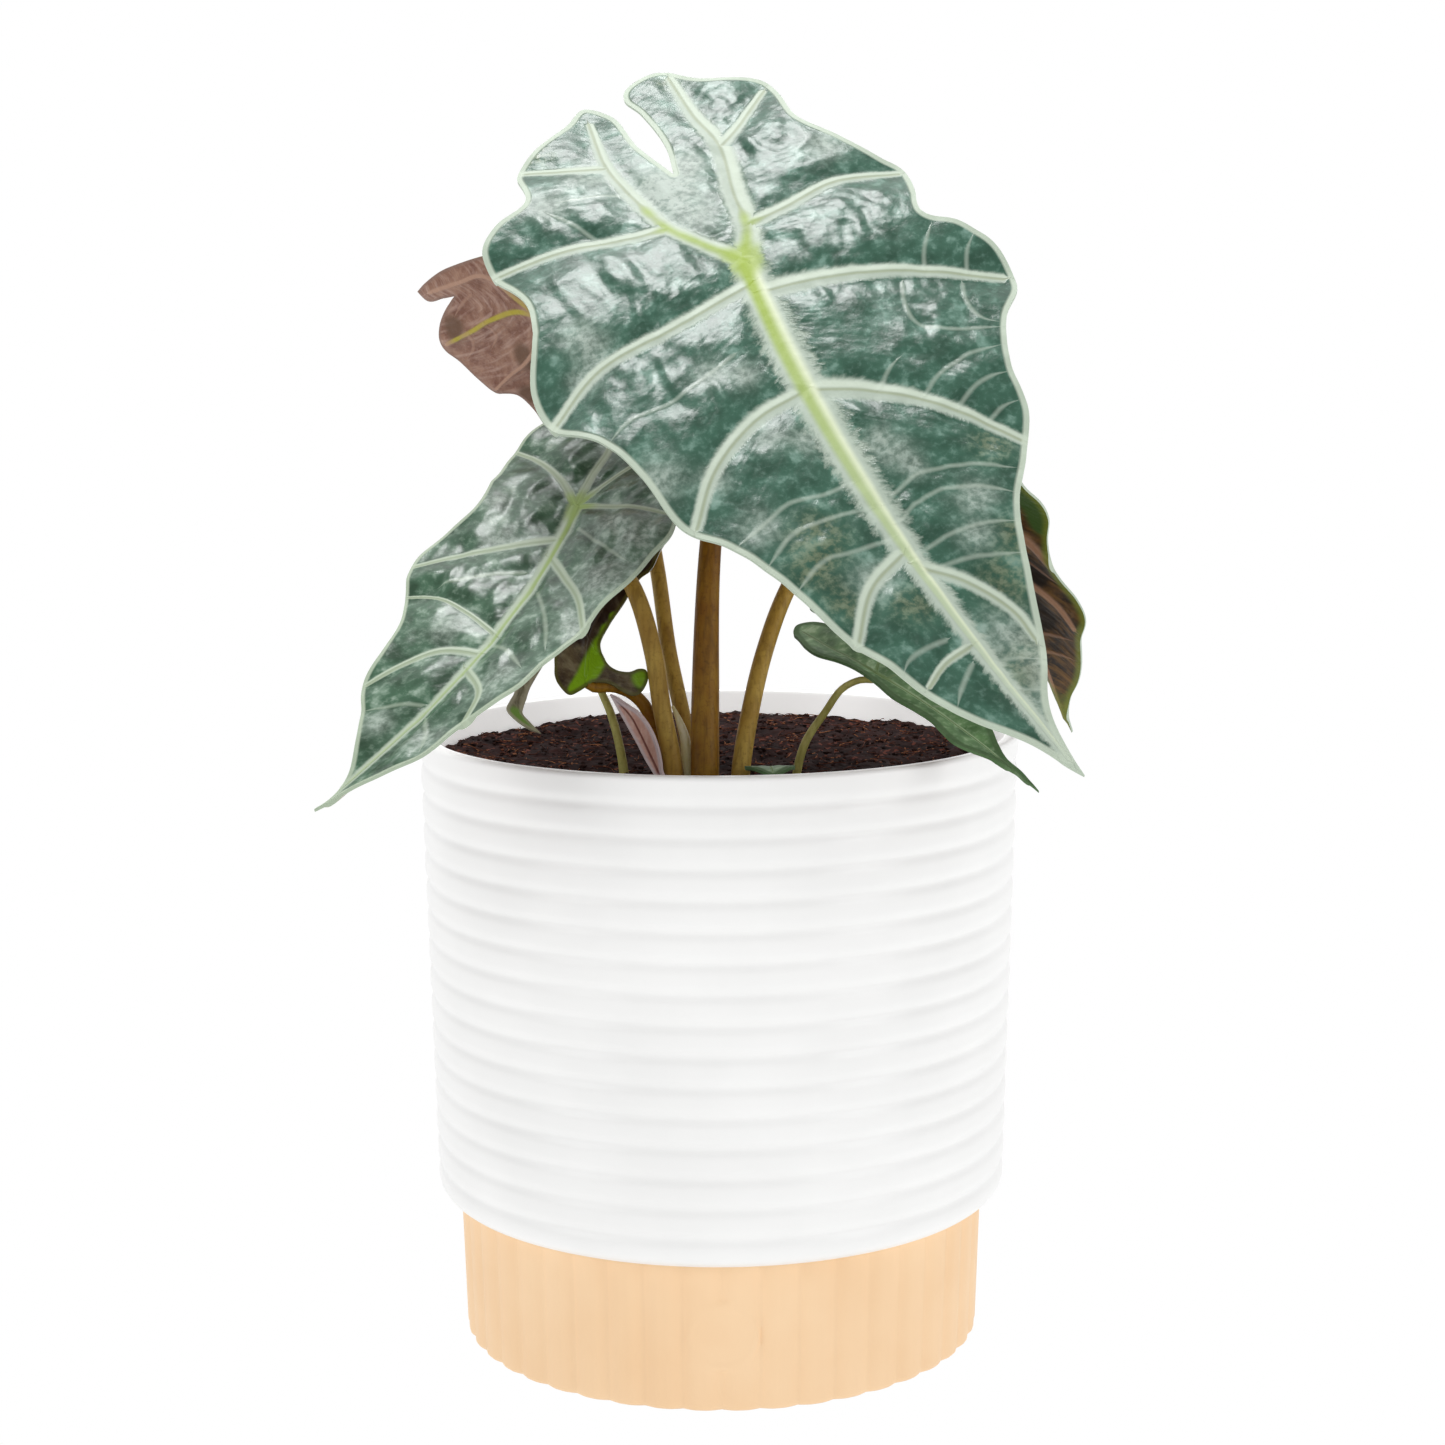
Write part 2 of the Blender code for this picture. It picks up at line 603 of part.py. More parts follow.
LOW_RIGHT = Leaf(
    "low_right_leaf", join=(41.2, -39.0, 189.2), tip=(78.9, -84.0, 165.2), face=(0.0, -0.42, 0.90),
    camber=2.0, vee=0.18, half=14.0, pillow=0.4, reach=2.5, rib=0.6, grid=5.0,
    outline=[
        [(0, 63.4), (0, 58), (0, 54), (-2, 48), (-5, 43.5), (-6.7, 39), (-6, 33), (-5, 28), (-5.3, 22),
         (-6, 14), (-4.5, 6), (-3.5, 0), (-3.2, -6), (-4, -11), (-6, -17), (-5, -23), (-2, -30),
         (0.5, -35.5), (3.5, -37.5), (6.5, -35), (8, -27), (7, -16), (5, -8)],
        [(5, -8), (8.5, -18), (10, -32), (12, -43), (15.5, -42), (18, -30), (16.5, -14), (14.5, -2), (14.5, 8),
         (12.5, 18), (10, 28), (6.5, 37), (2.8, 45), (1.3, 50), (1.2, 56), (0, 63.4)],
    ],
    veins=[
        [(0, 0), (0.5, -12), (0.5, -18), (2, -33)],
        [(0, 0), (7, -7), (12, -18), (14, -34)],
        [(0, 4), (6, 6), (13, 10)],
        [(0, 22), (5, 26), (9, 31)],
    ])

CURLED = Leaf(
    "curled_leaf", join=(-34.7, -38.0, 186.5), tip=(-12.5, -20.0, 224.0), face=(0.0, 0.87, -0.50),
    vee=0.1, arch=-0.012, half=12.0, pillow=0.4, reach=2.5, rib=0.5, grid=3.2,
    outline=[
        [(0, 47.2), (-4, 43), (-8, 35), (-10, 25), (-11.5, 14), (-11.5, 4), (-10, 1), (-8.5, -1.5),
         (-6, -3.5), (-2.5, -4.5), (-0.8, -2.6), (1.2, 1.2)],
        [(1.2, 1.2), (5, 3), (8.5, 3), (11.3, 3.3), (12.8, 4.6), (13.2, 7.5), (12.6, 10.2), (11.2, 11.3),
         (9.6, 10.5), (8, 8.5), (5, 7.2), (2.5, 7.4), (0.6, 8.6), (-2, 11.5), (-2.5, 17.5), (-2, 24),
         (-1.5, 32.5), (0, 36), (-0.3, 42), (0, 47.2)],
    ],
    veins=[
        [(-1, 3), (-4, 1), (-6, -2)],
        [(-3, 10), (-7, 13), (-11, 17)],
        [(0, 3), (7, 5.5), (13, 8)],
    ], midrib=[(-1, 2), (-5, 12), (-6, 22), (-4, 34), (-1, 45)])

DROOPING = Leaf(
    "drooping_leaf", join=(-40.5, -24.0, 203.2), tip=(-46.7, -38.0, 173.4), face=(0.10, -0.90, 0.30),
    bow=-8.0, half=10.0, pillow=0.4, reach=2.5, rib=0.5, grid=3.2,
    outline=[
        [(0, 33.5), (-2.8, 32.8), (-5.2, 31.3), (-6.5, 29.2), (-4.5, 26.5), (-2.6, 24), (-1.6, 20.5),
         (-2, 16), (-5, 10), (-8.5, 4), (-9.5, -3), (-7.5, -9), (-3.5, -10), (0, -5)],
        [(0, -5), (3.5, -9), (7, -8), (8.5, -2), (7.5, 5), (5.2, 13.5), (3.5, 18.5), (1.5, 22.5),
         (0.3, 25), (-1, 27), (-2.2, 29.2), (-1.3, 31), (0, 33.5)],
    ],
    veins=[
        [(0, 0), (-4, -4), (-6, -8)],
        [(0, 0), (4, -4), (6, -7)],
        [(0, 6), (-5, 8), (-8, 8)],
    ], midrib=[(0, 0), (0, 8), (0.5, 16), (0, 22), (-3, 28), (-1.5, 31.5)])

SEEDLING = Leaf(
    "seedling_leaf", join=(13.0, -43.5, 165.0), tip=(14.0, -62.0, 165.8), face=(0.0, 0.0, 1.0),
    camber=1.2, vee=0.05, arch=0.01, half=6.0, pillow=0.3, reach=2.0, rib=0.4, grid=3.5,
    outline=[
        [(0, 18.5), (-3, 15), (-5.5, 10), (-6.5, 5), (-6, 0), (-4, -3.5), (-1.5, -3.5), (0, -2)],
        [(0, -2), (1.5, -3.5), (4, -3.5), (6, 0), (6.5, 5), (5.5, 10), (3, 15), (0, 18.5)],
    ],
    veins=[
        [(0, 3), (-3, 4), (-5, 7)],
        [(0, 3), (3, 4), (5, 7)],
    ])

SHEATH = Leaf(
    "pink_sheath", join=(-15.8, -39.0, 162.5), tip=(-29.3, -37.0, 183.9), face=(-0.35, -0.85, -0.15),
    camber=-1.5, vee=0.25, half=5.0, rib=0.4, grid=3.5,
    outline=[
        [(-0.3, 24.6), (-2, 21), (-4.4, 17), (-5, 12), (-4, 6.5), (-2.4, 2.5), (-1.2, 0), (-1.2, -5)],
        [(-1.2, -5), (1.2, -5)],
        [(1.2, -5), (1.2, 0), (1.5, 5), (1.3, 10), (1, 15), (0.5, 20), (-0.3, 24.6)],
    ],
    veins=[], midrib=[(0, -4), (-0.5, 6), (-1.2, 12), (-1.8, 17), (-1, 22)])

# Each stem's route from the surface of the potting mix up, as (x, y, z, radius)
STEM_ROUTES = {
    "front_leaf": (FRONT, 2.3, 10.0, [
        (-3.7, -38.0, 162.0, 3.8), (-3.5, -35.5, 181.7, 3.7), (-2.4, -32.0, 216.0, 3.0),
        (1.0, -26.0, 250.0, 2.6), (4.5, -17.5, 276.0, 2.4)]),
    "left_leaf": (LEFT, 2.0, 8.0, [
        (-11.7, -37.2, 162.0, 2.55), (-14.9, -36.2, 179.5, 2.5), (-17.1, -36.0, 194.6, 2.5),
        (-22.0, -35.5, 211.0, 2.3), (-29.0, -30.0, 220.5, 2.1)]),
    "back_left_leaf": (BACK_LEFT, 1.7, 6.0, [
        (-7.5, -27.0, 162.0, 2.2), (-9.3, -24.0, 173.9, 2.2), (-13.3, -18.0, 192.4, 2.15),
        (-16.5, -10.0, 214.3, 2.1), (-22.0, 6.0, 240.0, 2.0), (-30.0, 27.0, 263.0, 1.9)]),
    "back_right_leaf": (BACK_RIGHT, 1.6, 6.0, [
        (5.7, -37.5, 162.0, 2.5), (8.3, -34.5, 178.3, 2.4), (12.3, -30.5, 194.3, 2.3),
        (18.3, -26.0, 209.8, 2.2), (31.0, -15.0, 229.0, 2.0), (47.0, 2.0, 239.0, 1.8)]),
    "low_right_leaf": (LOW_RIGHT, 0.85, 1.9, [
        (20.7, -33.2, 162.0, 1.15), (23.1, -33.0, 170.3, 1.1), (28.1, -33.2, 178.0, 1.0),
        (32.5, -34.0, 184.3, 0.95), (37.2, -36.3, 187.0, 0.9)]),
    "curled_leaf": (CURLED, 0.0, 0.0, [
        (-15.6, -30.5, 162.0, 1.9), (-16.8, -30.6, 171.0, 1.9), (-19.0, -31.0, 178.6, 1.75),
        (-22.6, -32.0, 182.8, 1.55), (-27.5, -34.7, 185.0, 1.3), (-32.8, -36.9, 185.2, 1.1)]),
    "drooping_leaf": (DROOPING, 0.8, 3.0, [
        (-25.2, -33.4, 162.0, 1.25), (-26.5, -32.0, 169.8, 1.15), (-28.6, -30.0, 177.3, 1.1),
        (-31.3, -27.5, 183.2, 1.0), (-35.8, -23.5, 193.0, 0.95), (-39.5, -20.5, 199.5, 0.9)]),
    "seedling_leaf": (SEEDLING, 0.8, 1.8, [(13.0, -43.5, 161.5, 1.0)]),
}

SHOOT_ROUTE = [(-8.6, -33.6, 162.0, 1.5), (-8.9, -33.4, 171.0, 1.3), (-10.5, -33.0, 176.0, 0.9),
               (-12.2, -32.5, 179.8, 0.4)]


def make_sheath(material, holes):
    """The dry sheath leaf, which stands in a plain round hole of its own."""
    sheath = make_blade(SHEATH, material)
    sheath.name = SHEATH.name
    foot = SHEATH.place(0.0, -5.0)
    head = SHEATH.place(0.0, 2.0)
    line = [Vector((*foot.lerp(head, share), SHEATH_HOLE_RADIUS)) for share in (-0.1, 0.4, 1.0)]
    cut_hole("sheath_hole", line, holes)
    return sheath


def build():
    """Make every piece of the plant and its pot."""
    clear_scene()
    white = finish("white moulded plastic", (0.86, 0.86, 0.86), 0.35)
    tan = finish("tan moulded plastic", (0.87, 0.68, 0.46), 0.6)
    peat = finish("peat potting mix", (0.035, 0.014, 0.012), 0.95)
    green = finish("dark green leaf", (0.035, 0.11, 0.075), 0.35)
    brown = finish("purple-brown leaf", (0.12, 0.05, 0.04), 0.45)
    olive = finish("mottled stem", (0.20, 0.12, 0.03), 0.45)
    lime = finish("young green stem", (0.33, 0.34, 0.08), 0.45)
    pink = finish("dry pink sheath", (0.55, 0.30, 0.24), 0.7)
    holes = bpy.data.collections.new("stem holes")
    bpy.context.scene.collection.children.link(holes)

    make_body(white, drain_mesh())
    make_base(tan)
    blades = {"front_leaf": green, "left_leaf": green, "low_right_leaf": green, "seedling_leaf": green}
    stems = {"low_right_leaf": lime, "drooping_leaf": lime, "seedling_leaf": lime}
    for name, (leaf, end_radius, approach, route) in STEM_ROUTES.items():
        make_blade(leaf, blades.get(name, brown))
        path = stem_path(leaf, route, end_radius, approach)
        make_stem(f"{name}_petiole", path, stems.get(name, olive), holes)
    make_stem("new_shoot", SHOOT_ROUTE, lime, holes)
    make_sheath(pink, holes)
    make_soil(peat, holes)


build()
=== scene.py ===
# %% [markdown]
# A young polly alocasia in a ribbed white pot that stands in a reeded tan base.
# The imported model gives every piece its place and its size. This script makes each piece again in fine
# detail, in the same place, and gives it the finish of the real one.
# A leaf blade is a thin sheet, so most of the work is its outline, its raised veins and its colours.

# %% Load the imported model
import math
import random

import bpy
import numpy as np
from mathutils import Matrix, Vector, noise
from mathutils.geometry import delaunay_2d_cdt


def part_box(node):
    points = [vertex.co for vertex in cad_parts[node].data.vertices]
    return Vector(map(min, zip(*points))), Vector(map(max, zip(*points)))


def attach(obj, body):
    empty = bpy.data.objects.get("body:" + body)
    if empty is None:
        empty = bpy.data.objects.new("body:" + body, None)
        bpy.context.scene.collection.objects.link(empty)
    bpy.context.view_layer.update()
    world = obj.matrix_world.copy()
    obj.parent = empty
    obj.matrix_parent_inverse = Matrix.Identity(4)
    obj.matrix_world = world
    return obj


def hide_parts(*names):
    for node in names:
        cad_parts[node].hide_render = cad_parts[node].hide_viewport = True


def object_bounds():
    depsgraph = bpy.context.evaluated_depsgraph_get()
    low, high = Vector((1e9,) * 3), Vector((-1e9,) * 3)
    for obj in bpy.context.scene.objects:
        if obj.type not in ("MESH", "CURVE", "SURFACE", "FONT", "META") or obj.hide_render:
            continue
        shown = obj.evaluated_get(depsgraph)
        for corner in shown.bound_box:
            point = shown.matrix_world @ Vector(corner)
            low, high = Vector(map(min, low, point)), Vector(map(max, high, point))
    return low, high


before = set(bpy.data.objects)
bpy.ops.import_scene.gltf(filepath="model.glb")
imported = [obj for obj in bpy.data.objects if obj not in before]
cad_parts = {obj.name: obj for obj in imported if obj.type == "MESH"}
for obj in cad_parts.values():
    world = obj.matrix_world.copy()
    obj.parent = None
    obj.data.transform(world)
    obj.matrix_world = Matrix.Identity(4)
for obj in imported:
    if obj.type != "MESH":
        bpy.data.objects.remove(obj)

bpy.ops.object.select_all(action="DESELECT")
CAD_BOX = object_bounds()
MM = 0.001
print("nodes", len(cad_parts), "box", [tuple(round(value, 4) for value in corner) for corner in CAD_BOX])

# %% [markdown]
# Colours are written as the eye reads them on a screen, and Blender wants linear light.
# One small function adds a shader node, sets its fields and joins its inputs, and returns one output.


# %% Colour and node helpers
def colour(code):
    """An sRGB hex colour as linear red, green, blue and alpha."""
    parts = [int(code[index:index + 2], 16) / 255 for index in (1, 3, 5)]
    linear = [part / 12.92 if part <= 0.04045 else ((part + 0.055) / 1.055) ** 2.4 for part in parts]
    return (*linear, 1.0)


def add(tree, kind, inputs, out=0, **settings):
    """Add a shader node, set its settings, fill or link its inputs, and return one of its outputs.

    The inputs are a list in the node's own order, or a dictionary by name or number. Text is a hex colour.
    """
    node = tree.nodes.new("ShaderNode" + kind)
    for name, value in settings.items():
        setattr(node, name, value)
    for name, value in inputs.items() if isinstance(inputs, dict) else enumerate(inputs):
        if isinstance(value, bpy.types.NodeSocket):
            tree.links.new(value, node.inputs[name])
        else:
            node.inputs[name].default_value = colour(value) if isinstance(value, str) else value
    return node.outputs[out]


# Settings for a mix of two colours, and for a range that is mapped to another with soft ends
RGBA = {"out": 2, "data_type": "RGBA"}
SOFT = {"interpolation_type": "SMOOTHSTEP"}


def coats(tree, skin, layers):
    """Lay coats over a skin one after another, each given as its share and its colour."""
    for share, coat in layers:
        skin = add(tree, "Mix", {0: share, 6: skin, 7: coat}, **RGBA)
    return skin


def new_material(name, roughness, ior):
    """A Principled material, its node tree and its shader."""
    material = bpy.data.materials.new(name)
    material.use_nodes = True
    shader = material.node_tree.nodes["Principled BSDF"]
    shader.inputs["Roughness"].default_value = roughness
    shader.inputs["IOR"].default_value = ior
    return material, material.node_tree, shader


def join_scene(name, data):
    """A new object in the scene that holds a mesh or a curve."""
    piece = bpy.data.objects.new(name, data)
    bpy.context.scene.collection.objects.link(piece)
    return piece


def curve_to_mesh(name, curve):
    """An object made from a curve, turned into a mesh."""
    piece = join_scene(name, curve)
    bpy.context.view_layer.objects.active = piece
    piece.select_set(True)
    bpy.ops.object.convert(target="MESH")
    piece = bpy.context.object
    piece.select_set(False)
    return piece


def dress(piece, material, node):
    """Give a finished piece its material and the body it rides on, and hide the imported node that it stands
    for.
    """
    if material:
        piece.data.materials.clear()
        piece.data.materials.append(material)
    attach(piece, "root")
    if node:
        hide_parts(node)


# %% [markdown]
# The photograph looks slightly down on the pot, level with the top leaf, from about three quarters of a
# metre. The camera was solved from the ellipses of the rim, the grooves and the base.

# %% Camera
CAMERA_PLACE = (0.001, -0.7415, 0.2803)
CAMERA_PITCH = math.pi / 2 - 0.14701
CAMERA_ROLL = -0.00443
SENSOR = 36.0
FOCAL_PIXELS = 2707.0
FRAME_PIXELS = 1445.0

lens = bpy.data.cameras.new("camera")
lens.sensor_width = SENSOR
lens.lens = FOCAL_PIXELS / FRAME_PIXELS * SENSOR
camera = join_scene("camera", lens)
camera.matrix_world = (Matrix.Translation(CAMERA_PLACE) @ Matrix.Rotation(CAMERA_PITCH, 4, "X")
                       @ Matrix.Rotation(CAMERA_ROLL, 4, "Z"))
bpy.context.scene.camera = camera
print("lens", round(lens.lens, 2), "mm")

# %% [markdown]
# The picture is high key: a sheet of white paper that is lit from behind sweeps under and up behind the pot,
# so no shadow shows. An even white light comes from the room, and one bright soft lamp hangs overhead and a
# little behind: its reflection makes white patches on the glossy leaves, and more are painted on as glare.

# %% Paper sweep and light
SWEEP_SIZE = 12.0
SWEEP_BACK = 4.0
SWEEP_HEIGHT = 8.0
ROOM_LIGHT = 0.55

bpy.ops.mesh.primitive_plane_add(size=SWEEP_SIZE, location=(0, SWEEP_BACK - SWEEP_SIZE / 2, 0))
sweep = bpy.context.object
sweep.name = "paper_sweep"
bpy.ops.object.transform_apply(location=True)
bpy.ops.object.mode_set(mode="EDIT")
bpy.ops.mesh.select_all(action="DESELECT")
bpy.ops.object.mode_set(mode="OBJECT")
for vertex in sweep.data.vertices:
    vertex.select = vertex.co.y > 0
for edge in sweep.data.edges:
    edge.select = all(sweep.data.vertices[index].co.y > 0 for index in edge.vertices)
bpy.ops.object.mode_set(mode="EDIT")
bpy.ops.mesh.select_mode(type="EDGE")
bpy.ops.mesh.extrude_region_move(TRANSFORM_OT_translate={"value": (0, 0, SWEEP_HEIGHT)})
bpy.ops.object.mode_set(mode="OBJECT")
paper, paper_tree, paper_shader = new_material("lit white paper", 1.0, 1.45)
paper_shader.inputs["Base Color"].default_value = colour("#000000")
paper_shader.inputs["Specular IOR Level"].default_value = 0.0
paper_shader.inputs["Emission Color"].default_value = colour("#ffffff")
paper_shader.inputs["Emission Strength"].default_value = 1.0
sweep.data.materials.append(paper)
sweep.select_set(False)

world = bpy.data.worlds.new("white room")
world.use_nodes = True
world.node_tree.nodes["Background"].inputs["Color"].default_value = colour("#ffffff")
world.node_tree.nodes["Background"].inputs["Strength"].default_value = ROOM_LIGHT
bpy.context.scene.world = world
bpy.context.scene.view_settings.view_transform = "Standard"

# Each lamp: its place, the point that it faces, its width in metres and its power in watts
LAMPS = {
    "overhead": ((-0.12, 0.27, 1.25), (0.0, -0.03, 0.25), 0.42, 7.0),
    "front_left": ((-1.85, -1.2, 0.9), (0.0, 0.0, 0.12), 1.0, 10.0),
    "front_right": ((1.85, -1.25, 0.7), (0.0, 0.0, 0.12), 1.0, 11.5),
}
for name, (place, target, size, power) in LAMPS.items():
    light = bpy.data.lights.new(name, "AREA")
    light.shape = "SQUARE"
    light.size = size
    light.energy = power
    lamp = join_scene(name, light)
    lamp.location = place
    lamp.rotation_euler = (Vector(target) - Vector(place)).to_track_quat("-Z", "Y").to_euler()
print("lamps", len(LAMPS))

# %% [markdown]
# The pot is injection-moulded plastic in two parts. The white body has soft grooves all round, and a plain
# foot that stands in the tan base. Both are turned shapes: a circle is extruded ring by ring along a profile.


# %% Turned shapes
def lathe(name, profile, sides):
    """Extrude a circle along a profile of (radius, z) in millimetres, then merge its ends to points."""
    radius, z = profile[0]
    bpy.ops.mesh.primitive_circle_add(vertices=sides, radius=radius * MM, location=(0, 0, z * MM))
    piece = bpy.context.object
    piece.name = piece.data.name = name
    bpy.ops.object.transform_apply(location=True)
    bpy.ops.object.mode_set(mode="EDIT")
    bpy.ops.mesh.select_all(action="SELECT")
    for (near, low), (far, high) in zip(profile[:-1], profile[1:]):
        bpy.ops.mesh.extrude_region_move(TRANSFORM_OT_translate={"value": (0, 0, (high - low) * MM)})
        share = far / near
        bpy.ops.transform.resize(value=(share, share, 1), center_override=(0, 0, high * MM))
    bpy.ops.mesh.select_all(action="SELECT")
    bpy.ops.mesh.remove_doubles(threshold=0.02 * MM)
    bpy.ops.mesh.normals_make_consistent(inside=False)
    bpy.ops.object.mode_set(mode="OBJECT")
    return piece


def smooth_shade(piece, angle=35.0):
    """Shade a piece smooth, with hard edges where its faces turn by more than the angle."""
    piece.data.shade_smooth()
    piece.data.set_sharp_from_angle(angle=math.radians(angle))
    piece.select_set(False)


# %% White body
BODY_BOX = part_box("pot_body")
BASE_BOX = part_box("pot_base")
POT_HEIGHT = BODY_BOX[1][2] / MM
PART_GAP = 0.3
BODY_LOW_Z = BASE_BOX[1][2] / MM + PART_GAP
BODY_TOP_RADIUS = 82.5
BODY_LOW_RADIUS = 79.3
BODY_WALL = 4.0
BODY_EDGE_ROUND = 5.0
RIM_ROUND = 1.2
FIRST_GROOVE_Z = 161.4
GROOVE_PITCH = 8.05
GROOVE_COUNT = 15
GROOVE_DEPTH = 0.8
GROOVE_HALF_WIDTH = 1.35
BAND_CROWN = 0.22
PROFILE_STEP = 0.55
BODY_SIDES = 216
TINY = 0.02
FOOT_RADIUS = 68.8
FOOT_LOW_Z = 3.3
FOOT_WALL = 3.0
DRAIN_RADIUS = 3.0
DRAIN_RING_RADIUS = 40.0
DRAIN_COUNT = 4
DRAIN_SIDES = 32
DRILL_LENGTH = 12.0


def body_radius(z):
    """Outer radius of the white body at a height, on its even taper, without its grooves."""
    share = (z - BODY_LOW_Z) / (POT_HEIGHT - BODY_LOW_Z)
    return BODY_LOW_RADIUS + (BODY_TOP_RADIUS - BODY_LOW_RADIUS) * share


def groove_depth(z):
    """How deep the outside lies at a height: soft grooves between bands with a slight crown."""
    step = (FIRST_GROOVE_Z - z) / GROOVE_PITCH
    if step < -0.5 or step > GROOVE_COUNT - 0.5:
        return 0.0
    away = abs(step - round(step)) * GROOVE_PITCH
    crown = BAND_CROWN * (1 - away / (GROOVE_PITCH / 2)) ** 2
    return (GROOVE_DEPTH - BAND_CROWN) * math.exp(-(away / GROOVE_HALF_WIDTH) ** 2) + crown


outside = []
turns = [math.radians(90 - angle) for angle in range(0, 91, 15)]
for turn in turns:
    outside.append((BODY_TOP_RADIUS - RIM_ROUND * (1 - math.cos(turn)),
                    POT_HEIGHT - RIM_ROUND * (1 - math.sin(turn))))
edge_z = BODY_LOW_Z + BODY_EDGE_ROUND
steps = round((POT_HEIGHT - RIM_ROUND - edge_z) / PROFILE_STEP)
for index in range(1, steps + 1):
    z = POT_HEIGHT - RIM_ROUND + (edge_z - POT_HEIGHT + RIM_ROUND) * index / steps
    outside.append((body_radius(z) - groove_depth(z), z))
for angle in range(15, 91, 15):
    turn = math.radians(angle)
    outside.append((body_radius(edge_z) - BODY_EDGE_ROUND * (1 - math.cos(turn)),
                    edge_z - BODY_EDGE_ROUND * math.sin(turn)))
foot = [(FOOT_RADIUS, BODY_LOW_Z), (FOOT_RADIUS, FOOT_LOW_Z), (TINY, FOOT_LOW_Z)]
inner_top = BODY_TOP_RADIUS - BODY_WALL
cavity = [
    (TINY, FOOT_LOW_Z + FOOT_WALL),
    (FOOT_RADIUS - FOOT_WALL, FOOT_LOW_Z + FOOT_WALL),
    (FOOT_RADIUS - FOOT_WALL, BODY_LOW_Z + BODY_WALL),
    (body_radius(BODY_LOW_Z) - BODY_WALL, BODY_LOW_Z + BODY_WALL),
    (inner_top, POT_HEIGHT - RIM_ROUND),
    (inner_top + RIM_ROUND * 0.3, POT_HEIGHT - RIM_ROUND * 0.3),
    (inner_top + RIM_ROUND, POT_HEIGHT),
]
white_pot = lathe("white_pot", cavity + outside + foot, BODY_SIDES)
for index in range(DRAIN_COUNT):
    angle = math.tau * (index + 0.5) / DRAIN_COUNT
    place = (DRAIN_RING_RADIUS * math.cos(angle) * MM, DRAIN_RING_RADIUS * math.sin(angle) * MM,
             FOOT_LOW_Z * MM)
    bpy.ops.mesh.primitive_cylinder_add(vertices=DRAIN_SIDES, radius=DRAIN_RADIUS * MM,
                                        depth=DRILL_LENGTH * MM, location=place)
    drill = bpy.context.object
    cut = white_pot.modifiers.new("drain", "BOOLEAN")
    cut.operation = "DIFFERENCE"
    cut.object = drill
    bpy.context.view_layer.objects.active = white_pot
    bpy.ops.object.modifier_apply(modifier=cut.name)
    bpy.data.objects.remove(drill)
smooth_shade(white_pot)
print("white pot", len(white_pot.data.polygons), "faces")

# %% [markdown]
# The base is reeded all round. In front, a small round field is left flat, with a plain raised ring.

# %% Tan base
BASE_TOP_RADIUS = 73.3
BASE_LOW_RADIUS = 72.1
BASE_WALL = 3.0
BASE_EDGE = 1.2
BASE_TOP_Z = BASE_BOX[1][2] / MM
BASE_STEPS = 48
REED_COUNT = 44
REED_DEPTH = 1.0
REED_FLATTEN = 1.12
POINTS_PER_REED = 12
BADGE_PLACE = (0.5, 20.5)
BADGE_RADIUS = 8.6
BADGE_RING = 0.75
BADGE_RAISE = 0.6
BADGE_INSET = 0.25
BADGE_SOFT = 0.25
BADGE_MARGIN = 0.4
BADGE_REACH = 9.0
RING_REACH = 2.0
FAR_AWAY = 1e3

rise = [(BASE_LOW_RADIUS + (BASE_TOP_RADIUS - BASE_LOW_RADIUS) * share,
         BASE_EDGE + (BASE_TOP_Z - BASE_EDGE) * share)
        for share in [index / BASE_STEPS for index in range(BASE_STEPS + 1)]]
base_profile = [(TINY, 0.0), (BASE_LOW_RADIUS - BASE_EDGE, 0.0)]
base_profile += [(BASE_LOW_RADIUS - BASE_EDGE * (1 - math.sin(turn)), BASE_EDGE * (1 - math.cos(turn)))
                 for turn in (math.radians(30), math.radians(60))]
base_profile += rise
base_profile += [(FOOT_RADIUS + PART_GAP, BASE_TOP_Z), (FOOT_RADIUS + PART_GAP, BASE_WALL), (TINY, BASE_WALL)]
tan_base = lathe("tan_base", base_profile, REED_COUNT * POINTS_PER_REED)
for vertex in tan_base.data.vertices:
    radius = math.hypot(vertex.co.x, vertex.co.y) / MM
    if radius < FOOT_RADIUS + 1.5:
        continue
    share = (math.atan2(vertex.co.y, vertex.co.x) + math.pi / 2) / math.tau * REED_COUNT % 1.0
    reed = min(1.0, REED_FLATTEN * math.sin(math.pi * share))
    x, z = vertex.co.x / MM - BADGE_PLACE[0], vertex.co.z / MM - BADGE_PLACE[1]
    off = math.hypot(x, z) - BADGE_RADIUS if vertex.co.y < 0 else FAR_AWAY
    flat = 1 / (1 + math.exp((off - BADGE_MARGIN) / BADGE_SOFT)) if off < BADGE_REACH else 0.0
    inset = REED_DEPTH * (1 - reed) * (1 - flat) + BADGE_INSET * flat
    if off < RING_REACH:
        inset -= BADGE_RAISE * math.exp(-(off / BADGE_RING) ** 2)
    factor = (radius - max(0.0, inset)) / radius
    vertex.co.x *= factor
    vertex.co.y *= factor
smooth_shade(tan_base, 50)
print("tan base", len(tan_base.data.polygons), "faces")

# %% [markdown]
# The body is polypropylene with a satin skin: IOR 1.49, faint flow marks, and a painted glow on its inner
# wall below the rim that stands in for light through the wall. The base is the same plastic dyed a peach tan,
# with a finer matt mould texture that scatters more.


# %% Plastic
PLASTIC_IOR = 1.49
FLOW_CLOUD = 0.03
WALL_LIT_FROM = BODY_TOP_RADIUS - 1.5
WALL_LIT_FULL = BODY_TOP_RADIUS - 3.5
LIT_LOW_Z = 0.148
LIT_HIGH_Z = 0.16


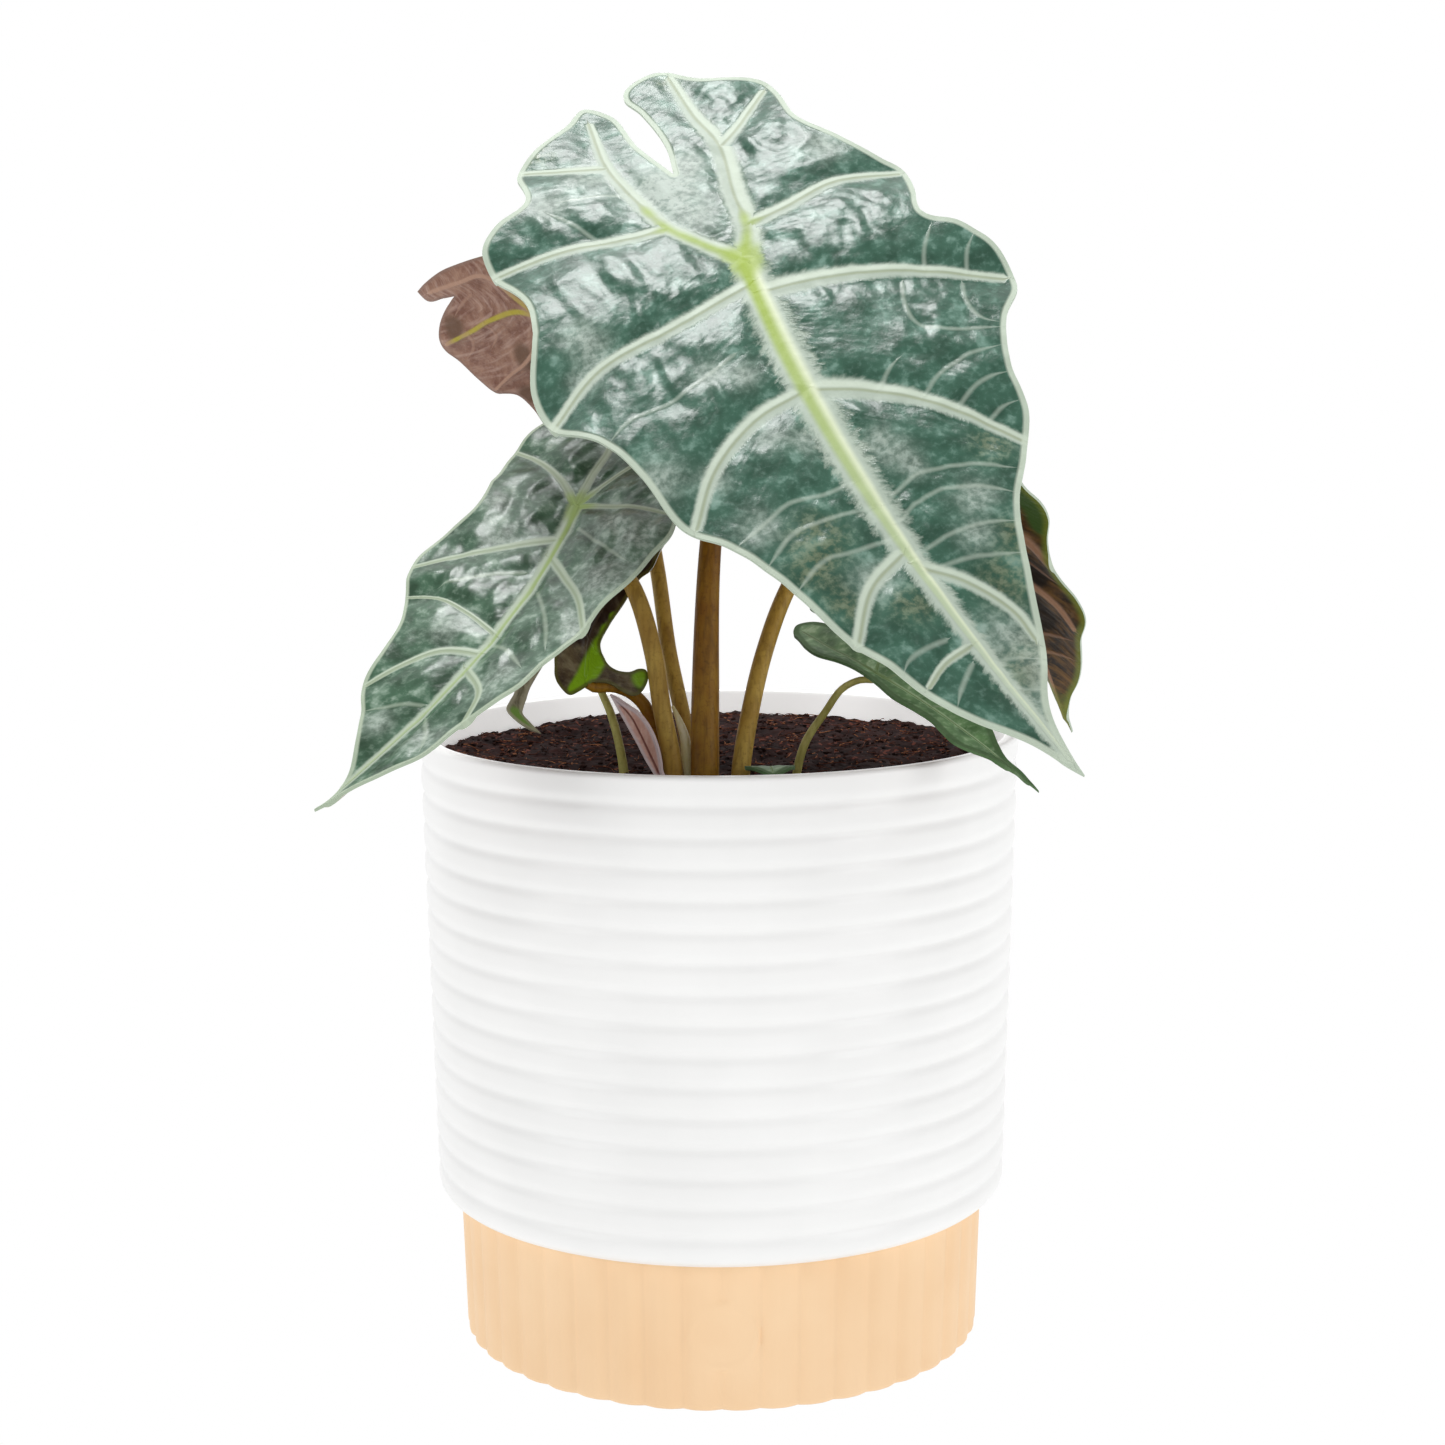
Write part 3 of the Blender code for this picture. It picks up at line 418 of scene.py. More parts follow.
def moulded_plastic(name, tint, shade, roughness, grain, grain_height, through=0.0):
    """Dyed moulded plastic with soft flow clouds and a fine mould grain, and a painted glow on its inner wall
    below the rim for light that comes through the wall.
    """
    material, tree, shader = new_material(name, roughness, PLASTIC_IOR)
    place = add(tree, "TexCoord", {}, out="Object")
    clouds = add(tree, "TexNoise", {"Vector": place, "Scale": 1 / FLOW_CLOUD, "Detail": 3.0})
    grains = add(tree, "TexNoise", {"Vector": place, "Scale": 1 / grain, "Detail": 2.0})
    base = add(tree, "Mix", {0: add(tree, "MapRange", [clouds, 0.3, 0.7]), 6: shade, 7: tint}, **RGBA)
    tree.links.new(base, shader.inputs["Base Color"])
    satin = add(tree, "MapRange", [clouds, 0.3, 0.7, roughness - 0.05, roughness + 0.06])
    tree.links.new(satin, shader.inputs["Roughness"])
    # A painted glow: the inner wall below the rim emits white light, standing in for light that comes through
    # the wall
    if through:
        around = add(tree, "VectorMath", {0: place, 1: (1.0, 1.0, 0.0)}, operation="MULTIPLY")
        radius = add(tree, "VectorMath", {0: around}, out="Value", operation="LENGTH")
        wall = add(tree, "MapRange", [radius, WALL_LIT_FROM * MM, WALL_LIT_FULL * MM, 0, through])
        level = add(tree, "SeparateXYZ", {"Vector": place}, out="Z")
        upper = add(tree, "MapRange", [level, LIT_LOW_Z, LIT_HIGH_Z])
        tree.links.new(add(tree, "Math", [wall, upper], operation="MULTIPLY"),
                       shader.inputs["Emission Strength"])
        shader.inputs["Emission Color"].default_value = colour("#ffffff")
    bump = add(tree, "Bump", {"Height": grains, "Distance": grain_height, "Strength": 0.6}, out="Normal")
    tree.links.new(bump, shader.inputs["Normal"])
    return material


dress(white_pot, moulded_plastic("white polypropylene", "#fafaf9", "#f5f5f4", 0.34, 0.0012, 0.00002, 0.3),
      "pot_body")
dress(tan_base, moulded_plastic("tan polypropylene", "#fbd8ae", "#f6cfa2", 0.55, 0.0009, 0.00004),
      "pot_base")

# %% [markdown]
# The potting mix is moist peat: dark red-brown crumbs with orange-brown fibres. The bed is a disc of rings
# whose points are lifted by fractal noise, and small crumbs and fibres lie half sunk in it, placed by a
# seeded draw.

# %% Potting mix bed
SOIL_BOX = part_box("soil")
SOIL_Z = 162.0
SOIL_LUMP = 0.7
LUMP_LENGTHS = (8.0, 9.5, 4.7, 6.1)
CROWN = (-4.0, -36.0)
CROWN_DIP = 1.2
CROWN_DIP_RADIUS = 22.0
SOIL_RADIUS = SOIL_BOX[1][0] / MM
SOIL_RING_STEP = 1.05
SOIL_ROUGH = 0.75
BED_DEPTH = 14.0
BED_TAPER = 0.4
BED_SIDES = 400
CRUMB_LENGTH = 3.2
CLOD_LENGTH = 7.5
CLOD_SHARE = 0.6
NOISE_SLICE = 3.0


def soil_height(x, y):
    """Height of the potting mix in millimetres: low lumps and a shallow dip round the crown."""
    wide_x, wide_y, short_x, short_y = LUMP_LENGTHS
    lump = math.sin(x / wide_x) * math.cos(y / wide_y) + 0.5 * math.sin(x / short_x - y / short_y)
    away = math.hypot(x - CROWN[0], y - CROWN[1]) / CROWN_DIP_RADIUS
    return SOIL_Z + SOIL_LUMP * lump * min(1.0, away) - CROWN_DIP * math.exp(-away * away)


rings = round(SOIL_RADIUS / SOIL_RING_STEP)
soil_profile = [(SOIL_RADIUS - BED_TAPER, SOIL_Z - BED_DEPTH)]
soil_profile += [(SOIL_RADIUS * (1 - index / rings), SOIL_Z) for index in range(rings)] + [(TINY, SOIL_Z)]
soil_bed = lathe("potting_mix_bed", soil_profile, BED_SIDES)
for vertex in soil_bed.data.vertices:
    x, y, z = vertex.co / MM
    if z > SOIL_Z - 1:
        spot = Vector((x, y, NOISE_SLICE))
        rough = noise.fractal(spot / CRUMB_LENGTH, 0.8, 2.1, 4) + CLOD_SHARE * noise.noise(spot / CLOD_LENGTH)
        vertex.co.z = (soil_height(x, y) + SOIL_ROUGH * rough) * MM
bpy.ops.object.mode_set(mode="EDIT")
bpy.ops.mesh.select_all(action="DESELECT")
bpy.ops.mesh.select_mode(type="EDGE")
bpy.ops.mesh.select_non_manifold()
bpy.ops.mesh.fill()
bpy.ops.mesh.select_all(action="SELECT")
bpy.ops.mesh.normals_make_consistent(inside=False)
bpy.ops.object.mode_set(mode="OBJECT")
smooth_shade(soil_bed, 60)
print("bed", len(soil_bed.data.polygons), "faces")

# %% Crumbs and fibres
CRUMB_COUNT = 3000
CRUMB_LEAST = 0.25
CRUMB_RANGE = 0.75
FIBRE_COUNT = 520
FIBRE_RADIUS = 0.12
FIBRE_LENGTHS = (2.0, 7.5)
FIBRE_CURL = 0.5
FIBRE_STEPS = 4
BED_EDGE = 1.5
draw = random.Random(12)


def scatter_spot():
    """A random spot on the bed and its height, in millimetres."""
    radius = (SOIL_RADIUS - BED_EDGE) * math.sqrt(draw.random())
    angle = math.tau * draw.random()
    x, y = radius * math.cos(angle), radius * math.sin(angle)
    return x, y, soil_height(x, y)


bpy.ops.mesh.primitive_ico_sphere_add(subdivisions=1, radius=1.0, location=(0, 0, 0))
pebble = bpy.context.object
pebble_points = np.array([vertex.co for vertex in pebble.data.vertices])
pebble_faces = np.array([polygon.vertices for polygon in pebble.data.polygons])
bpy.data.objects.remove(pebble)
points, faces = [], []
for index in range(CRUMB_COUNT):
    x, y, z = scatter_spot()
    size = CRUMB_LEAST + CRUMB_RANGE * draw.random() ** 3
    shape = np.array([draw.uniform(0.7, 1.5), draw.uniform(0.7, 1.3), draw.uniform(0.5, 0.9)]) * size
    jitter = np.array([[draw.uniform(0.78, 1.2)] for corner in pebble_points])
    turn = np.array(Matrix.Rotation(draw.uniform(0, math.tau), 3, "Z"))
    corners = (pebble_points * jitter * shape) @ turn.T + np.array([x, y, z + 0.15 * size])
    faces.append(pebble_faces + len(points) * len(pebble_points))
    points.append(corners * MM)
crumb_mesh = bpy.data.meshes.new("peat_crumbs")
crumb_mesh.from_pydata(np.concatenate(points), [], np.concatenate(faces).tolist())
crumbs = join_scene("peat_crumbs", crumb_mesh)

fibre_curve = bpy.data.curves.new("peat_fibres", "CURVE")
fibre_curve.dimensions = "3D"
fibre_curve.bevel_depth = FIBRE_RADIUS * MM
fibre_curve.bevel_resolution = 0
fibre_curve.use_fill_caps = True
for index in range(FIBRE_COUNT):
    x, y, z = scatter_spot()
    heading = draw.uniform(0, math.tau)
    length = draw.uniform(*FIBRE_LENGTHS)
    curl = draw.uniform(-FIBRE_CURL, FIBRE_CURL)
    spline = fibre_curve.splines.new("POLY")
    spline.points.add(FIBRE_STEPS)
    for step, point in enumerate(spline.points):
        run = length * step / FIBRE_STEPS
        side = heading + curl * step / FIBRE_STEPS
        px, py = x + run * math.cos(side), y + run * math.sin(side)
        if math.hypot(px, py) > SOIL_RADIUS - 1:
            px, py = x, y
        lift = 0.55 + 0.35 * math.sin(step + index)
        point.co = (px * MM, py * MM, (soil_height(px, py) + lift) * MM, 1.0)
fibres = curve_to_mesh("peat_fibres", fibre_curve)
print("crumbs", CRUMB_COUNT, "fibres", FIBRE_COUNT)


# %% Peat
def peat(name, dark, mid, light, share):
    """Moist peat: red-brown crumbs, near-black in the low places of its bump as painted shade in the hollows,
    and a few lighter woody bits.
    """
    material, tree, shader = new_material(name, 0.9, 1.25)
    place = add(tree, "TexCoord", {}, out="Object")
    wide = add(tree, "TexNoise", {"Vector": place, "Scale": 1 / 0.006, "Detail": 4.0, "Roughness": 0.7})
    small = add(tree, "TexVoronoi", {"Vector": place, "Scale": 1 / 0.0011}, out="Color")
    pick = add(tree, "SeparateColor", {"Color": small})
    # The low places of the bump get the darkest colour: painted shade in the hollows, over dark peat
    base = coats(tree, dark, [(add(tree, "MapRange", [wide, 0.35, 0.68]), mid),
                              (add(tree, "MapRange", [pick, 1 - share, 1 - share * 0.8]), light)])
    tree.links.new(base, shader.inputs["Base Color"])
    bump = add(tree, "Bump", {"Height": wide, "Distance": 0.0006, "Strength": 0.8}, out="Normal")
    tree.links.new(bump, shader.inputs["Normal"])
    return material


dress(soil_bed, peat("moist peat", "#140706", "#331815", "#5f3226", 0.06), "soil")
dress(crumbs, peat("peat crumbs", "#190d0c", "#371f1a", "#6b3f2d", 0.08), None)
dress(fibres, peat("peat fibres", "#3c211a", "#64382a", "#a06a48", 0.2), None)

# %% [markdown]
# A blade is laid out flat in its own plane, in millimetres: x across from the midrib and y from the join
# with its stem to the tip. Its outline and its veins are smooth curves through listed points. Those of the
# edges and veins that show were read in the photograph and carried onto the blade through the camera
# above, and those of hidden edges were chosen. How far off each blade lies and how it is turned was
# judged. A mesh of triangles is fitted between the curves, and a height formula then arches it,
# waves its edge and pillows it between the veins.


# %% Curves in the blade's plane
def smooth_line(points, step):
    """Points about step apart on a centripetal Catmull-Rom curve through the given points."""
    nodes = [np.array(point, float) for point in points]
    nodes = [2 * nodes[0] - nodes[1]] + nodes + [2 * nodes[-1] - nodes[-2]]
    line = []
    for a, b, c, d in zip(nodes, nodes[1:], nodes[2:], nodes[3:]):
        knots = [0.0]
        for near, far in ((a, b), (b, c), (c, d)):
            knots.append(knots[-1] + max(np.linalg.norm(far - near), 1e-6) ** 0.5)
        parts = max(1, round(np.linalg.norm(c - b) / step))
        for part in range(parts):
            t = knots[1] + (knots[2] - knots[1]) * part / parts
            ab = a + (b - a) * (t - knots[0]) / (knots[1] - knots[0])
            bc = b + (c - b) * (t - knots[1]) / (knots[2] - knots[1])
            cd = c + (d - c) * (t - knots[2]) / (knots[3] - knots[2])
            abc = ab + (bc - ab) * (t - knots[0]) / (knots[2] - knots[0])
            bcd = bc + (cd - bc) * (t - knots[1]) / (knots[3] - knots[1])
            line.append(abc + (bcd - abc) * (t - knots[1]) / (knots[2] - knots[1]))
    line.append(nodes[-2])
    return np.array(line)


def pieces_of(lines):
    """The straight pieces of several lines.

    Each row is the piece's start and run, the length before it, its line's number, length and whole run.
    """
    rows = []
    for number, line in enumerate(lines):
        runs = np.diff(line, axis=0)
        lengths = np.linalg.norm(runs, axis=1)
        before = np.concatenate([[0.0], np.cumsum(lengths)[:-1]])
        for start, run, length, base in zip(line[:-1], runs, lengths, before):
            rows.append((*start, *run, base, number, lengths.sum(), *(line[-1] - line[0])))
    return np.array(rows)


def nearest_piece(spots, rows):
    """For each spot, the distance to the nearest straight piece and that piece's number."""
    best = np.empty(len(spots))
    which = np.empty(len(spots), int)
    start_x, start_y, run_x, run_y = rows[:, 0], rows[:, 1], rows[:, 2], rows[:, 3]
    square = np.maximum(run_x ** 2 + run_y ** 2, 1e-12)
    for low in range(0, len(spots), 4000):
        gap_x = spots[low:low + 4000, 0, None] - start_x
        gap_y = spots[low:low + 4000, 1, None] - start_y
        share = np.clip((gap_x * run_x + gap_y * run_y) / square, 0, 1)
        away = (gap_x - share * run_x) ** 2 + (gap_y - share * run_y) ** 2
        which[low:low + 4000] = away.argmin(1)
        best[low:low + 4000] = np.sqrt(away.min(1))
    return best, which


def inside(spots, loop):
    """Whether each spot lies inside a closed loop."""
    within = np.zeros(len(spots), bool)
    for (ax, ay), (bx, by) in zip(loop, np.roll(loop, -1, axis=0)):
        if ay != by:
            crosses = (ay > spots[:, 1]) != (by > spots[:, 1])
            within ^= crosses & (spots[:, 0] < ax + (bx - ax) * (spots[:, 1] - ay) / (by - ay))
    return within


# %% The leaf
BLADE_THICK = 0.8
RIB_START = 8.0
CURVE_STEP = 1.5
RIDGE_FADE = 14.0
RIDGE_SHARE = 0.42
COMB_SHRINK = 0.35
COMB_SLANTS = (0.2, 1.4)
RIB_HALF = 1.9
SWELL_LENGTHS = (5.5, 12.0)
SWELL_SLANT = 0.2
SWELL_SLICE = 1.7
CALM_LENGTHS = (21.0, 26.0)
CALM_SLICE = 123.07
CALM_LIMITS = (0.45, 1.15)
EDGE_CALM = 8.0
VEIN_CALM = 5.0
FINE_PILLOW = 0.4
FINE_REACH = 3.0
VEIN_TAPERS = (3.0, 2.5)
FINE_TAPERS = (0.8, 6.0)
LEAST_SHARE = 0.02
UV_SPAN = 100


class Leaf:
    """A leaf: where its blade joins its stem, where its tip is, and the shape between.

    Each main vein is (half widths of its pale band from start to end, points), and the first is the midrib.
    Stains, spots of painted glare (green patches on an underside finish) and warm spots are (x, y, radius).
    The upper surface faces the side that `face` points to.
    Sizes are in millimetres.
    """

    def __init__(self, name, join, tip, face, outline, veins, fine=(), fine_half=0.55, camber=0.0, vee=0.0,
                 arch=0.0, bow=0.0, half=30.0, wave=0.0, wave_length=50.0, wave_start=(0.0, 0.0), pillow=0.0,
                 reach=6.0, rib=0.8, grid=1.0, ridge=0.4, crinkle=0.3, stains=(), glare_and_green_spots=(), warms=()):
        self.name = name
        self.join = np.array(join, float)
        reach_out = np.array(tip, float) - self.join
        self.length = np.linalg.norm(reach_out)
        self.along = reach_out / self.length
        facing = np.array(face, float)
        up = facing - self.along * facing.dot(self.along)
        self.up = up / np.linalg.norm(up)
        self.across = np.cross(self.up, self.along)
        self.outline = outline
        self.widths = [widths for widths, points in veins]
        self.lines = [smooth_line(points, CURVE_STEP) for widths, points in veins]
        self.rows = pieces_of(self.lines)
        self.fine_lines = [smooth_line(points, CURVE_STEP) for points in fine]
        self.fine_rows = pieces_of(self.fine_lines) if fine else self.rows
        self.fine_half = fine_half if fine else 0.0
        self.camber, self.vee, self.arch, self.bow = camber, vee, arch, bow
        self.half, self.wave, self.wave_length, self.wave_start = half, wave, wave_length, wave_start
        self.pillow, self.reach, self.rib, self.grid = pillow, reach, rib, grid
        self.ridge, self.crinkle = ridge, crinkle
        self.marks = (stains, glare_and_green_spots, warms)

    def loop(self, step):
        """The closed outline at about the given step."""
        return np.concatenate([smooth_line(stretch, step)[:-1] for stretch in self.outline])

    def comb(self, spots):
        """Coordinates that run with the small veins: shrunk along them and true across them."""
        x, y = spots.T
        start, growth = COMB_SLANTS
        return np.column_stack([COMB_SHRINK * x, y - np.abs(x) * (start + growth * y / self.length)])

    def height(self, spots):
        """How far the upper surface stands off the blade's plane."""
        x, y = spots.T
        share = y / self.length
        side = np.abs(x)
        edge = np.minimum(side / self.half, 1.0) ** 2
        start = np.where(x > 0, self.wave_start[0], self.wave_start[1])
        wave = self.wave * np.sin(math.tau * y / self.wave_length + start) * edge
        gap, which = nearest_piece(spots, self.rows)
        pillow = self.pillow * (1 - np.exp(-(gap / self.reach) ** 2))
        wide = RIDGE_SHARE * np.array([widths[0] for widths in self.widths])[self.rows[which, 5].astype(int)]
        fade = np.clip((self.rows[which, 6] - self.rows[which, 4]) / RIDGE_FADE, 0, 1)
        ridge = self.ridge * wide * fade * np.exp(-(gap / wide) ** 2)
        arch = 4 * self.camber * share * (1 - share) + self.vee * side - self.arch * side * side
        return arch + wave + pillow + ridge

    def place(self, spots, lift=0.0):
        """The points of the upper surface at spots of the blade's plane."""
        x, y = spots.T
        share = np.clip(y / self.length, 0, 1)
        middle = 4 * self.bow * share * (1 - share)
        rise = self.height(spots) + lift
        return (self.join + (x + middle)[:, None] * self.across + y[:, None] * self.along
                + rise[:, None] * self.up)

    def seat(self):
        """Where the stem meets the blade, and the blade's outward direction there."""
        spots = np.array([(0.0, 0.0), (1.0, 0.0), (-1.0, 0.0), (0.0, 1.0), (0.0, -1.0)])
        middle, right, left, ahead, behind = self.place(spots)
        out = np.cross(ahead - behind, right - left)
        return middle, out / np.linalg.norm(out)


def outward(points, triangles):
    """The outward direction at each point of a sheet of triangles."""
    a, b, c = (points[triangles[:, side]] for side in range(3))
    out = np.zeros_like(points)
    for side in range(3):
        np.add.at(out, triangles[:, side], np.cross(b - a, c - a))
    return out / np.linalg.norm(out, axis=1)[:, None]


# Least distances between spots of the mesh, in steps of its grid
EDGE_MARGIN = 0.6
SPOT_MARGIN = 0.55
VEIN_MARGIN = 1.6


def lay_out(leaf):
    """The blade's spots and triangles in its own plane, with rows of spots along its edge and veins."""
    grid = leaf.grid
    loop = leaf.loop(grid)
    spots = loop.copy()
    edges = [(index, (index + 1) % len(loop)) for index in range(len(loop))]
    edge_rows = pieces_of([np.vstack([loop, loop[:1]])])
    for line in leaf.lines:
        turned = np.gradient(line, axis=0)
        turned = np.column_stack([-turned[:, 1], turned[:, 0]])
        turned /= np.linalg.norm(turned, axis=1)[:, None]
        for offset in (0.0, grid, -grid):
            row = line + turned * offset
            keep = inside(row, loop) & (nearest_piece(row, edge_rows)[0] > EDGE_MARGIN * grid)
            row = row[keep]
            if len(row):
                gap = np.linalg.norm(row[:, None] - spots[None], axis=2).min(1)
                row = row[gap > SPOT_MARGIN * grid]
            if len(row) and offset == 0.0:
                first = len(spots)
                steps = np.linalg.norm(np.diff(row, axis=0), axis=1)
                edges += [(first + index, first + index + 1) for index, step in enumerate(steps)
                          if step < 2 * CURVE_STEP]
            spots = np.vstack([spots, row])
    low, high = loop.min(0), loop.max(0)
    lift = grid * math.sqrt(3) / 2
    across, up = np.meshgrid(np.arange(low[0], high[0], grid), np.arange(low[1], high[1], lift))
    across[1::2] += grid / 2
    fill = np.column_stack([across.ravel(), up.ravel()])
    fill = fill[inside(fill, loop)]
    fill = fill[nearest_piece(fill, edge_rows)[0] > EDGE_MARGIN * grid]
    gap = nearest_piece(fill, leaf.rows)[0]
    fill = fill[gap > VEIN_MARGIN * grid]
    spots = np.vstack([spots, fill])
    flat = delaunay_2d_cdt([Vector(spot) for spot in spots], edges, [list(range(len(loop)))], 1, 0.0001)
    return np.array([tuple(spot) for spot in flat[0]]), np.array([tuple(face) for face in flat[2]]), edge_rows


def vein_values(leaf, corners, rows, middles):
    """For each corner: distance to the nearest vein, positive on its downhill side, and length along it."""
    chosen = rows[nearest_piece(middles, rows)[1]]
    unit = chosen[:, 2:4] / np.maximum(np.linalg.norm(chosen[:, 2:4], axis=1), 1e-9)[:, None]
    # The downhill side takes a vein's painted shade, and the uphill side its painted highlight
    downhill = np.where(chosen[:, 8] * leaf.across[2] - chosen[:, 7] * leaf.along[2] > 0, -1.0, 1.0)
    gap = corners - chosen[:, None, 0:2]
    along = (gap * unit[:, None]).sum(2)
    aside = gap[:, :, 0] * unit[:, None, 1] - gap[:, :, 1] * unit[:, None, 0]
    total = chosen[:, 4][:, None] + along
    beyond = np.maximum(np.maximum(-total, total - chosen[:, 6][:, None]), 0)
    return chosen, np.copysign(np.hypot(aside, beyond), aside) * downhill[:, None], total


def soft_spots(corners, spots):
    """The sum of soft round spots (x, y, radius) at each corner."""
    total = np.zeros(corners.shape[:2])
    for x, y, size in spots:
        total += np.exp(-((corners[:, :, 0] - x) ** 2 + (corners[:, :, 1] - y) ** 2) / size ** 2)
    return total


def skin_lift(leaf, spots, margin, gap):
    """Small swells of the skin: calm in some stretches, and low near the edge and near the veins."""
    long, wide = SWELL_LENGTHS
    swell = [noise.fractal(Vector((x / long, (y - SWELL_SLANT * abs(x)) / wide, SWELL_SLICE)), 0.8, 2.1, 2)
             for x, y in spots]
    long, wide = CALM_LENGTHS
    calm = np.array([noise.noise(Vector((x / long, y / wide, CALM_SLICE))) for x, y in spots])
    lift = leaf.crinkle * np.array(swell) * np.clip(0.6 + 1.2 * calm, *CALM_LIMITS)
    lift *= np.minimum(margin / EDGE_CALM, 1.0) * (0.15 + 0.85 * np.minimum(gap / VEIN_CALM, 1.0))
    if leaf.fine_lines:
        away = nearest_piece(spots, leaf.fine_rows)[0]
        lift += FINE_PILLOW * leaf.crinkle * (1 - np.exp(-(away / FINE_REACH) ** 2))
    return lift


def close_sheet(triangles, count):
    """The faces of a closed sheet: its upper side, its underside, and the strip between their edges."""
    upper_faces = triangles[:, ::-1]
    directed = {(a, b) for face in upper_faces for a, b in zip(face, np.roll(face, -1))}
    lone = [(a, b) for a, b in directed if (b, a) not in directed]
    rim = [(b, a, count + a) for a, b in lone] + [(b, count + a, count + b) for a, b in lone]
    return np.vstack([upper_faces, triangles + count, np.array(sorted(rim))])


def store(mesh, name, values):
    """Keep three numbers for each corner of the mesh."""
    layer = mesh.attributes.new(name, "FLOAT_VECTOR", "CORNER")
    layer.data.foreach_set("vector", values.astype(np.float32).ravel())


def store_maps(mesh, leaf, spots, faces, margin):
    """Keep where each corner lies: off the veins, from the edge and the join, and in the colour marks and the
    spots of painted glare.
    """
    flat = np.vstack([spots, spots])
    corners = flat[faces]
    middles = corners.mean(1)
    middle = leaf.rows[:, 5] == 0
    # A leaf with no side veins keeps its midrib in both maps
    for name, rows in (("midrib", leaf.rows[middle]), ("lateral", leaf.rows[middle == middle.all()])):
        chosen, aside, along = vein_values(leaf, corners, rows, middles)
        half = np.empty_like(along)
        for index, widths in enumerate(leaf.widths):
            own = chosen[:, 5] == index
            shares = along[own] / chosen[own, 6][:, None]
            half[own] = np.interp(shares, np.linspace(0, 1, len(widths)), widths)
        ends = np.minimum((chosen[:, 6][:, None] - along) / VEIN_TAPERS[1], along / VEIN_TAPERS[0])
        store(mesh, name, np.dstack([aside, along, half * np.clip(1 + ends, LEAST_SHARE, 1)]))
    chosen, aside, along = vein_values(leaf, corners, leaf.fine_rows, middles)
    ends = np.minimum((chosen[:, 6][:, None] - along) / FINE_TAPERS[1], 1 + along / FINE_TAPERS[0])
    # A leaf without fine veins gets half widths just over nothing, so that nothing is divided by zero
    half = leaf.fine_half * np.clip(ends, LEAST_SHARE, 1) + 0.001
    store(mesh, "fine_vein", np.dstack([aside, along, half]))
    edge = np.concatenate([margin, margin])[faces]
    store(mesh, "blade_zone", np.dstack([edge, np.linalg.norm(corners, axis=2), 0 * edge]))
    store(mesh, "blade_marks_and_glare", np.dstack([soft_spots(corners, places) for places in leaf.marks]))
    comb = leaf.comb(spots)
    for name, places in (("plane", flat), ("comb", np.vstack([comb, comb]))):
        layer = mesh.uv_layers.new(name=name)
        layer.data.foreach_set("uv", (places[faces] / UV_SPAN).ravel())


def make_blade(leaf, node, upper, under):
    """The blade as one closed thin sheet, with the maps that its finish is drawn from."""
    spots, triangles, edge_rows = lay_out(leaf)
    count = len(spots)
    margin = nearest_piece(spots, edge_rows)[0]
    gap = nearest_piece(spots, leaf.rows)[0]
    top = leaf.place(spots, skin_lift(leaf, spots, margin, gap))
    from_join = np.linalg.norm(spots, axis=1)
    rib = leaf.rib * np.clip(1 - (gap / RIB_HALF) ** 2, 0, 1) * np.clip(from_join / RIB_START - 0.3, 0, 1)
    low = top - outward(top, triangles[:, ::-1]) * (BLADE_THICK + rib)[:, None]
    faces = close_sheet(triangles, count)
    mesh = bpy.data.meshes.new(leaf.name)
    mesh.from_pydata(np.clip(np.vstack([top, low]) * MM, *CAD_BOX), [], faces.tolist())
    store_maps(mesh, leaf, spots, faces, margin)
    sides = np.zeros(len(faces), int)
    sides[len(triangles):2 * len(triangles)] = 1
    mesh.materials.append(upper)
    mesh.materials.append(under)
    mesh.polygons.foreach_set("material_index", sides)
    mesh.update()
    piece = join_scene(leaf.name, mesh)
    smooth_shade(piece, 50)
    dress(piece, None, node)
    print(leaf.name, count, "points", len(faces), "triangles")


# %% [markdown]
# The blade's upper side is a waxy dark blue-green skin. Each vein lies in a pale band whose edge is
# feathered by the small veins that leave it, so the band's reach is drawn from noise that is stretched away
# from the vein. Noise along the direction of the small veins gives the skin its combed look. Each vein bears
# a painted highlight on its uphill side, each side vein a line of painted shade on its downhill side, and
# spots of painted glare lie between the veins.


# %% Upper side of a blade
def leaf_maps(tree):
    """The blade's stored maps as sockets: midrib, lateral, fine vein, zone and mark, then two UV maps."""
    parts = []
    for name in ("midrib", "lateral", "fine_vein", "blade_zone", "blade_marks_and_glare"):
        stored = add(tree, "Attribute", {}, out="Vector", attribute_name=name)
        parts.append(add(tree, "SeparateXYZ", {"Vector": stored}).node.outputs)
    return (*parts, add(tree, "UVMap", {}, uv_map="plane"), add(tree, "UVMap", {}, uv_map="comb"))


def off_middle(tree, offset, half):
    """How far a place lies off a middle line, counted in half widths."""
    away = add(tree, "Math", [offset], operation="ABSOLUTE")
    return add(tree, "Math", [away, half], operation="DIVIDE")


def relief_of(tree, parts):
    """The sum of several heights, each times its millimetres."""
    total = 0.0
    for value, height in parts:
        total = add(tree, "Math", [value, height, total], operation="MULTIPLY_ADD")
    return total


def vein_profile(tree, vein, tooth):
    """A vein's feathered band, and the place across it: 0 in the middle, 1 at the band's downhill edge."""
    away = add(tree, "Math", [vein[0]], operation="ABSOLUTE")
    slant = add(tree, "Math", [away, -0.5, vein[1]], operation="MULTIPLY_ADD")
    across = add(tree, "Math", [away, 0.6], operation="MULTIPLY")
    place = add(tree, "CombineXYZ", [slant, across, vein[2]])
    barbs = add(tree, "TexNoise", {"Vector": place, "Scale": 0.7, "Detail": 3.0, "Roughness": 0.65})
    reach = add(tree, "MapRange", [barbs, 0.4, 0.75, 1 - 0.6 * tooth, 1 + tooth])
    cross = add(tree, "Math", [vein[0], vein[2]], operation="DIVIDE")
    ratio = off_middle(tree, cross, reach)
    return add(tree, "MapRange", [ratio, 1.15, 0.5, 0, 0.88], **SOFT), cross


